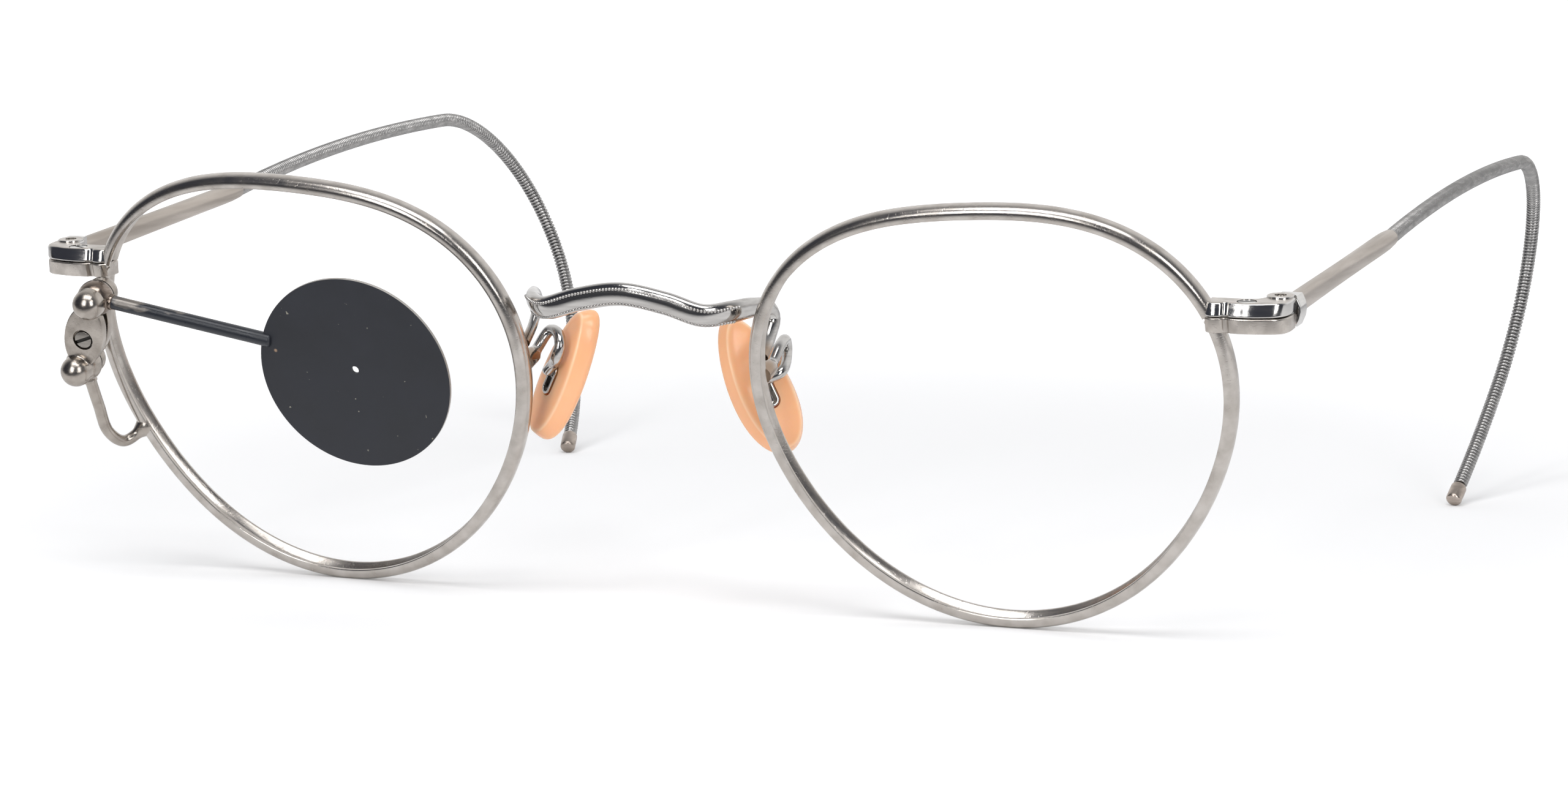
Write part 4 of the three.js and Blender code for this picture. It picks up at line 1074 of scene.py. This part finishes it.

# %% [markdown]
# ## Nose pads
# The pads are moulded celluloid in a peach colour, egg-shaped, glossy and a little translucent, with a
# ridge where the back meets the side. The egg is one circle primitive that is pulled to its outline, then
# extruded and resized step by step from the back to the face that touches the nose. A Subdivision Surface
# rounds it, and a crease keeps the ridge. The pocket for the box is cut last, so that its edge stays crisp.
# A value stored on the points tells the finish where the ridge runs, and there it mixes in a lighter peach:
# a painted highlight for the gloss and for the light that the thin edge lets through.

# %% Peach celluloid
celluloid, tree = new_finish("peach_celluloid")
tint = ramp(tree, noise(tree, 5.0), 0.35, (0.89, 0.455, 0.24), 0.68, (0.905, 0.49, 0.268))
# The ridge value mixes in a lighter peach along the ridge: a painted highlight.
painted_ridge_highlight = add(tree, "Attribute", attribute_name="ridge").outputs["Fac"]
shade(celluloid, {
    "Base Color": mixed(tree, painted_ridge_highlight, tint, (0.96, 0.60, 0.38)),
    "Roughness": spread(tree, noise(tree, 1.2, detail=4.0), 0.20, 0.26),
    "Subsurface Weight": 0.35,
    "Subsurface Radius": (1.0, 0.45, 0.22),
    "Subsurface Scale": 0.0022,
    "IOR": 1.5,
})
print("pad finish:", celluloid.name)

# %% Pad body
PAD_LONG = 14.4
PAD_WIDE = 6.3
PAD_THICK = 2.4
PAD_EGG = 0.19
PAD_FORE = 0.1
PAD_UP = 0.9
PAD_REAR = -1.12
RIDGE_DEPTH = 0.08
EGG_POINTS = 36
pad_steps = [(0.3, 0.0), (0.62, 0.03), (0.76, RIDGE_DEPTH), (0.90, 0.34)]
pad_steps += [(0.985, 0.58), (0.985, 0.72), (0.87, 0.90), (0.5, 1.0)]
pad_rings = []
for scale, depth in pad_steps:
    inset = PAD_THICK * (1 - scale)
    centre = Vector((-PAD_FORE, PAD_REAR + depth * PAD_THICK, PAD_UP))
    pad_rings.append((centre, Vector((PAD_WIDE / 2 - inset, 0, 0)), Vector((0, 0, PAD_LONG / 2 - inset))))
pad = loft("pad", pad_rings, sides=EGG_POINTS)
for vertex in pad.data.vertices:
    way_up = (vertex.co.z - PAD_UP) / (PAD_LONG / 2)
    vertex.co.x = -PAD_FORE + (vertex.co.x + PAD_FORE) * (1 - PAD_EGG * way_up)
ridge_y = PAD_REAR + RIDGE_DEPTH * PAD_THICK
creases = pad.data.attributes.new("crease_edge", "FLOAT", "EDGE")
for edge in pad.data.edges:
    ends = [pad.data.vertices[k].co.y for k in edge.vertices]
    creases.data[edge.index].value = 0.85 if all(abs(y - ridge_y) < 0.01 for y in ends) else 0
apply(pad, "SUBSURF", levels=2, render_levels=2)
POCKET_ROOM = 0.36
pocket = oval("pocket", BOX_WIDE + POCKET_ROOM, BOX_LONG + POCKET_ROOM, -0.28, 5)
pocket.data.transform(QUARTER_TURN)
cut(pad, pocket)
# The ridge value marks where the finish paints its highlight. It is zero in the pocket.
ridge = pad.data.attributes.new("ridge", "FLOAT", "POINT")
for vertex in pad.data.vertices:
    in_pocket = abs(vertex.co.x) < BOX_WIDE and abs(vertex.co.z) < BOX_LONG
    ridge.data[vertex.index].value = 0 if in_pocket else 1 - ease(abs(vertex.co.y - ridge_y), 0.02, 0.11)
seat_pair(pad, "pad", pad_places, "pad_{}", "nose_pad", celluloid, 45)

# %% [markdown]
# ## Double-ball clamp
# Two plates grip two balls, one on the bracket and one on the arm, and one screw draws the plates together,
# so the disc can be set anywhere before the eye. Each plate is pressed metal: an oval with a domed cup at
# both ends. The oval, collars and domes are primitives that are fused by a voxel Remesh and softened by a
# Smooth modifier, which leaves the soft roots that pressing leaves. The counterbore and the seats of the
# balls are cut after that, with sharp edges.

# %% Clamp's place
BALL_RADIUS = 1.8
BALL_SPACING = 7.85
CLAMP_LEAN = math.radians(20.7)
lower_ball = Vector((-EYE_CENTRES / 2 - 22.0 - 1.05, -4.5, 1.55))
clamp_up = Vector((math.sin(CLAMP_LEAN), 0, math.cos(CLAMP_LEAN)))
upper_ball = lower_ball + clamp_up * BALL_SPACING
clamp_at = (lower_ball + upper_ball) / 2
clamp_place = front @ Matrix.Translation(clamp_at * MM) @ Matrix.Rotation(CLAMP_LEAN, 4, "Y")
print("clamp, from the front's origin in mm:", [round(v, 2) for v in clamp_at])

# %% Clamp plates
clamp_metal = white_metal("clamp_metal", (0.34, 0.305, 0.27), (0.50, 0.455, 0.41), 0.18, 0.30, grain=PLAIN)
SCREW_LOW = -0.35
PLATE_IN = 0.45
PLATE_OUT = 1.35
CUP_RADIUS = 1.55


def clamp_plate(name, wide, cup_out):
    """A plate in the clamp's plane: y from the lower ball to the upper, z outward."""
    plate = drum(1, PLATE_IN, PLATE_OUT, sides=64)
    plate.data.transform(Matrix.Diagonal((wide / 2, 3.5, 1, 1)))
    shapes = []
    for y in (-BALL_SPACING / 2, BALL_SPACING / 2):
        shapes.append(ball(CUP_RADIUS, (0, y, cup_out)))
        shapes.append(drum(CUP_RADIUS, PLATE_IN, cup_out, 0, y))
    plate = join(plate, *shapes)
    apply(plate, "REMESH", mode="VOXEL", voxel_size=0.055, use_smooth_shade=True)
    apply(plate, "SMOOTH", factor=0.5, iterations=9)
    for y in (-BALL_SPACING / 2, BALL_SPACING / 2):
        cut(plate, ball(BALL_RADIUS + 0.05, (0, y, 0)))
    plate.name = name
    return plate


front_plate = clamp_plate("front_plate", 4.1, 1.55)
cut(front_plate, drum(1.07, PLATE_OUT - 0.6, 5, 0, SCREW_LOW))
cut(front_plate, drum(0.7, -1, 5, 0, SCREW_LOW))
front_plate.data.transform(QUARTER_TURN)
rear_plate = clamp_plate("rear_plate", 3.5, 1.35)
cut(rear_plate, drum(0.65, -1, 5, 0, SCREW_LOW))
rear_plate.data.transform(Matrix.Rotation(math.pi, 4, "Z") @ QUARTER_TURN)
screw_metal = white_metal("screw_metal", (0.20, 0.185, 0.165), (0.36, 0.335, 0.305), 0.2, 0.34)
CLAMP_HEAD = 0.9
clamp_screw = drum(CLAMP_HEAD, PLATE_OUT - 0.5, PLATE_OUT - 0.02, sides=48)
soften(clamp_screw, 0.07, 3)
slotted(clamp_screw, screw_metal, CLAMP_HEAD, PLATE_OUT, width=0.34, deep=0.3, angle=math.radians(40))
clamp_screw = join(clamp_screw, drum(0.6, -PLATE_OUT, PLATE_OUT - 0.45))
clamp_screw.data.transform(QUARTER_TURN @ Matrix.Translation((0, SCREW_LOW, 0)))
seat(front_plate, "plate_front", clamp_place, "clamp", ["clamp_front_plate"], clamp_metal, 35)
seat(rear_plate, "plate_rear", clamp_place, "clamp", ["clamp_rear_plate"], clamp_metal, 35)
seat(clamp_screw, "screw_clamp", clamp_place, "clamp", ["clamp_screw"], screw_metal, 30)

# %% [markdown]
# ## Balls and bracket
# The lower ball is brazed on the bracket wire, which drops, turns under and is soldered to the eyewire. The
# upper ball carries the arm and has darkened to brown. A ball alone would be a bare primitive, so each gets
# the small collar that brazing leaves where its wire comes out.

# %% Balls
ball_metal = white_metal("browned_metal", (0.16, 0.125, 0.10), (0.36, 0.30, 0.26), 0.12, 0.30)
BRACKET_WIRE = 0.58
ROD_RADIUS = 0.69
WIRE_AXIS = Vector((0.25, 0, -1)).normalized()
APERTURE_DROP = math.radians(11)
ARM_AXIS = Vector((math.cos(APERTURE_DROP), 0, -math.sin(APERTURE_DROP)))


def collared_ball(name, heading, wire_radius):
    """A ball with a low collar on the side where its wire leaves."""
    piece = ball(BALL_RADIUS, (0, 0, 0), 48)
    collar = drum(wire_radius + 0.11, BALL_RADIUS - 0.25, BALL_RADIUS + 0.15, sides=32)
    soften(collar, 0.09, 4)
    collar.data.transform(heading.to_track_quat("Z", "Y").to_matrix().to_4x4())
    piece = join(piece, collar)
    piece.name = name
    return piece


low_ball = collared_ball("low_ball", WIRE_AXIS, BRACKET_WIRE)
high_ball = collared_ball("high_ball", ARM_AXIS, ROD_RADIUS)
low_place = front @ Matrix.Translation(lower_ball * MM)
high_place = front @ Matrix.Translation(upper_ball * MM)
seat(low_ball, "ball_low", low_place, "lower_ball", ["bracket_ball"], clamp_metal)
seat(high_ball, "ball_high", high_place, "upper_ball", ["arm_ball"], ball_metal)

# %% Bracket wire
BRACKET_ANGLE = math.radians(-20)
bracket_out = eye_radius(BRACKET_ANGLE) * math.cos(BRACKET_ANGLE)
solder_at = Vector((
    -EYE_CENTRES / 2 - bracket_out * math.cos(FACE_WRAP),
    bracket_out * math.sin(FACE_WRAP),
    eye_radius(BRACKET_ANGLE) * math.sin(BRACKET_ANGLE),
))
bottom = lower_ball.z - 9.9
bracket_bends = [
    lower_ball + WIRE_AXIS * (BALL_RADIUS - 0.1),
    (lower_ball.x + 0.5, lower_ball.y + 0.5, lower_ball.z - 4.7),
    (lower_ball.x + 0.4, lower_ball.y + 1.5, bottom + 1.8),
    (lower_ball.x + 1.1, lower_ball.y + 3.1, bottom),
    solder_at,
]
BRACKET_STEPS = 80
SOLDER_SWELL = 0.55
bracket_line = even(through(bracket_bends, 20), BRACKET_STEPS)
bracket_radii = []
for k in range(BRACKET_STEPS + 1):
    bracket_radii.append(BRACKET_WIRE + SOLDER_SWELL * ease(k / BRACKET_STEPS, 0.86, 0.98))
bracket = round_wire("bracket", bracket_line, bracket_radii, 6)
seat(bracket, "bracket_of_clamp", front, "front", ["bracket_wire"], clamp_metal, 60)

# %% [markdown]
# ## Arm and disc
# The arm is a round rod, blackened so that nothing glints beside the sight. Turning it by hand has worn the
# black off near the ball, and a chip shows bare metal. Along its top the black also gives way to bare
# metal, which is partly wear and partly a painted highlight. The disc is thin sheet with a pinhole near its
# middle, matte blue-black, with dust and fine scratches and a bright line at its cut edge. Both start as
# cylinders. What makes them real is the finish, which measures along the arm and out from the pinhole in
# Object coordinates.

# %% Arm and disc shapes
APERTURE_REACH = 27.85
APERTURE_BELOW = 1.25
DISC_RADIUS = 9.97
DISC_THICK = 0.35
aperture_place = high_place @ Matrix.Rotation(APERTURE_DROP, 4, "Y")
arm_end = APERTURE_REACH - math.sqrt(DISC_RADIUS**2 - APERTURE_BELOW**2) + 1.0
rod = drum(ROD_RADIUS, BALL_RADIUS - 0.1, arm_end, sides=40)
soften(rod, 0.32, 5)
rod.data.transform(Matrix.Rotation(math.radians(90), 4, "Y"))
slot_tool = drum(DISC_RADIUS + 0.03, -0.2, 0.2, sides=160)
disc_at = Vector((APERTURE_REACH, 0, -APERTURE_BELOW))
slot_tool.data.transform(Matrix.Translation(disc_at) @ QUARTER_TURN)
cut(rod, slot_tool)
disc = drum(DISC_RADIUS, -DISC_THICK / 2, DISC_THICK / 2, sides=160)
soften(disc, 0.05, 2)
cut(disc, drum(0.4, -2, 2, 0, 0.35, sides=48))
disc.data.transform(Matrix.Translation(disc_at) @ QUARTER_TURN)

# %% Blackened finishes
rod_black, tree = new_finish("worn_black_and_painted_sheen")
ball_point = aperture_place.translation
arm_heading = (aperture_place.to_3x3() @ Vector((1, 0, 0))).normalized()
arm_top = (aperture_place.to_3x3() @ Vector((0, -0.35, 1))).normalized()
patches = noise(tree, 1.1, detail=4.0, stretch=(0.45, 1, 1))
handled = spread(tree, measure(tree, "DOT_PRODUCT", ball_point, arm_heading), 0.36, -0.45, 2.5, 19.0)
# Towards the top side the black turns to bare metal. This is partly wear and partly a painted highlight
# line along the top of the rod.
top_wear_and_sheen = spread(tree, measure(tree, "DOT_PRODUCT", ball_point, arm_top), 0.0, 0.55, 0.2, 0.66)
scuffs_and_top_sheen = maths(tree, "ADD", maths(tree, "ADD", handled, top_wear_and_sheen), spread(tree, patches, -0.5, 0.5))
bare_wear_and_sheen = spread(tree, scuffs_and_top_sheen, 0, 1, 0.55, 0.85)
shade(rod_black, {
    "Base Color": mixed(tree, bare_wear_and_sheen, (0.016, 0.0185, 0.025), (0.27, 0.25, 0.23)),
    "Metallic": bare_wear_and_sheen,
    "Roughness": spread(tree, patches, 0.22, 0.42),
    "Normal": relief(tree, bare_wear_and_sheen, -0.01),
})

disc_black, tree = new_finish("matte_black")
cloudy = noise(tree, 4.0, detail=5.0)
coat = ramp(tree, cloudy, 0.3, (0.0115, 0.013, 0.0185), 0.7, (0.018, 0.020, 0.0275))
speck = spread(tree, noise(tree, 0.55, detail=1.0), 0, 1, 0.77, 0.80)
coat = mixed(tree, speck, coat, (0.22, 0.21, 0.17))
chip_at = aperture_place @ (Vector((arm_end + 0.5, -0.2, -0.85)) * MM)
chipped = spread(tree, measure(tree, "LENGTH", chip_at), 0.8, 0, 0.08, 0.22)
coat = mixed(tree, chipped, coat, (0.34, 0.22, 0.14))
from_centre = measure(tree, "LENGTH", aperture_place @ (disc_at * MM))
cut_edge = spread(tree, from_centre, 0, 1, DISC_RADIUS - 0.03, DISC_RADIUS - 0.005)
shade(disc_black, {
    "Base Color": mixed(tree, cut_edge, coat, (0.55, 0.53, 0.50)),
    "Metallic": cut_edge,
    "Roughness": spread(tree, cloudy, 0.50, 0.66),
    "Normal": relief(tree, noise(tree, 0.12, detail=2.0), 0.004),
})
seat(rod, "arm_of_disc", aperture_place, "aperture", ["aperture_arm"], rod_black, 40)
seat(disc, "sight_disc", aperture_place, "aperture", ["aperture_disc"], disc_black, 30)
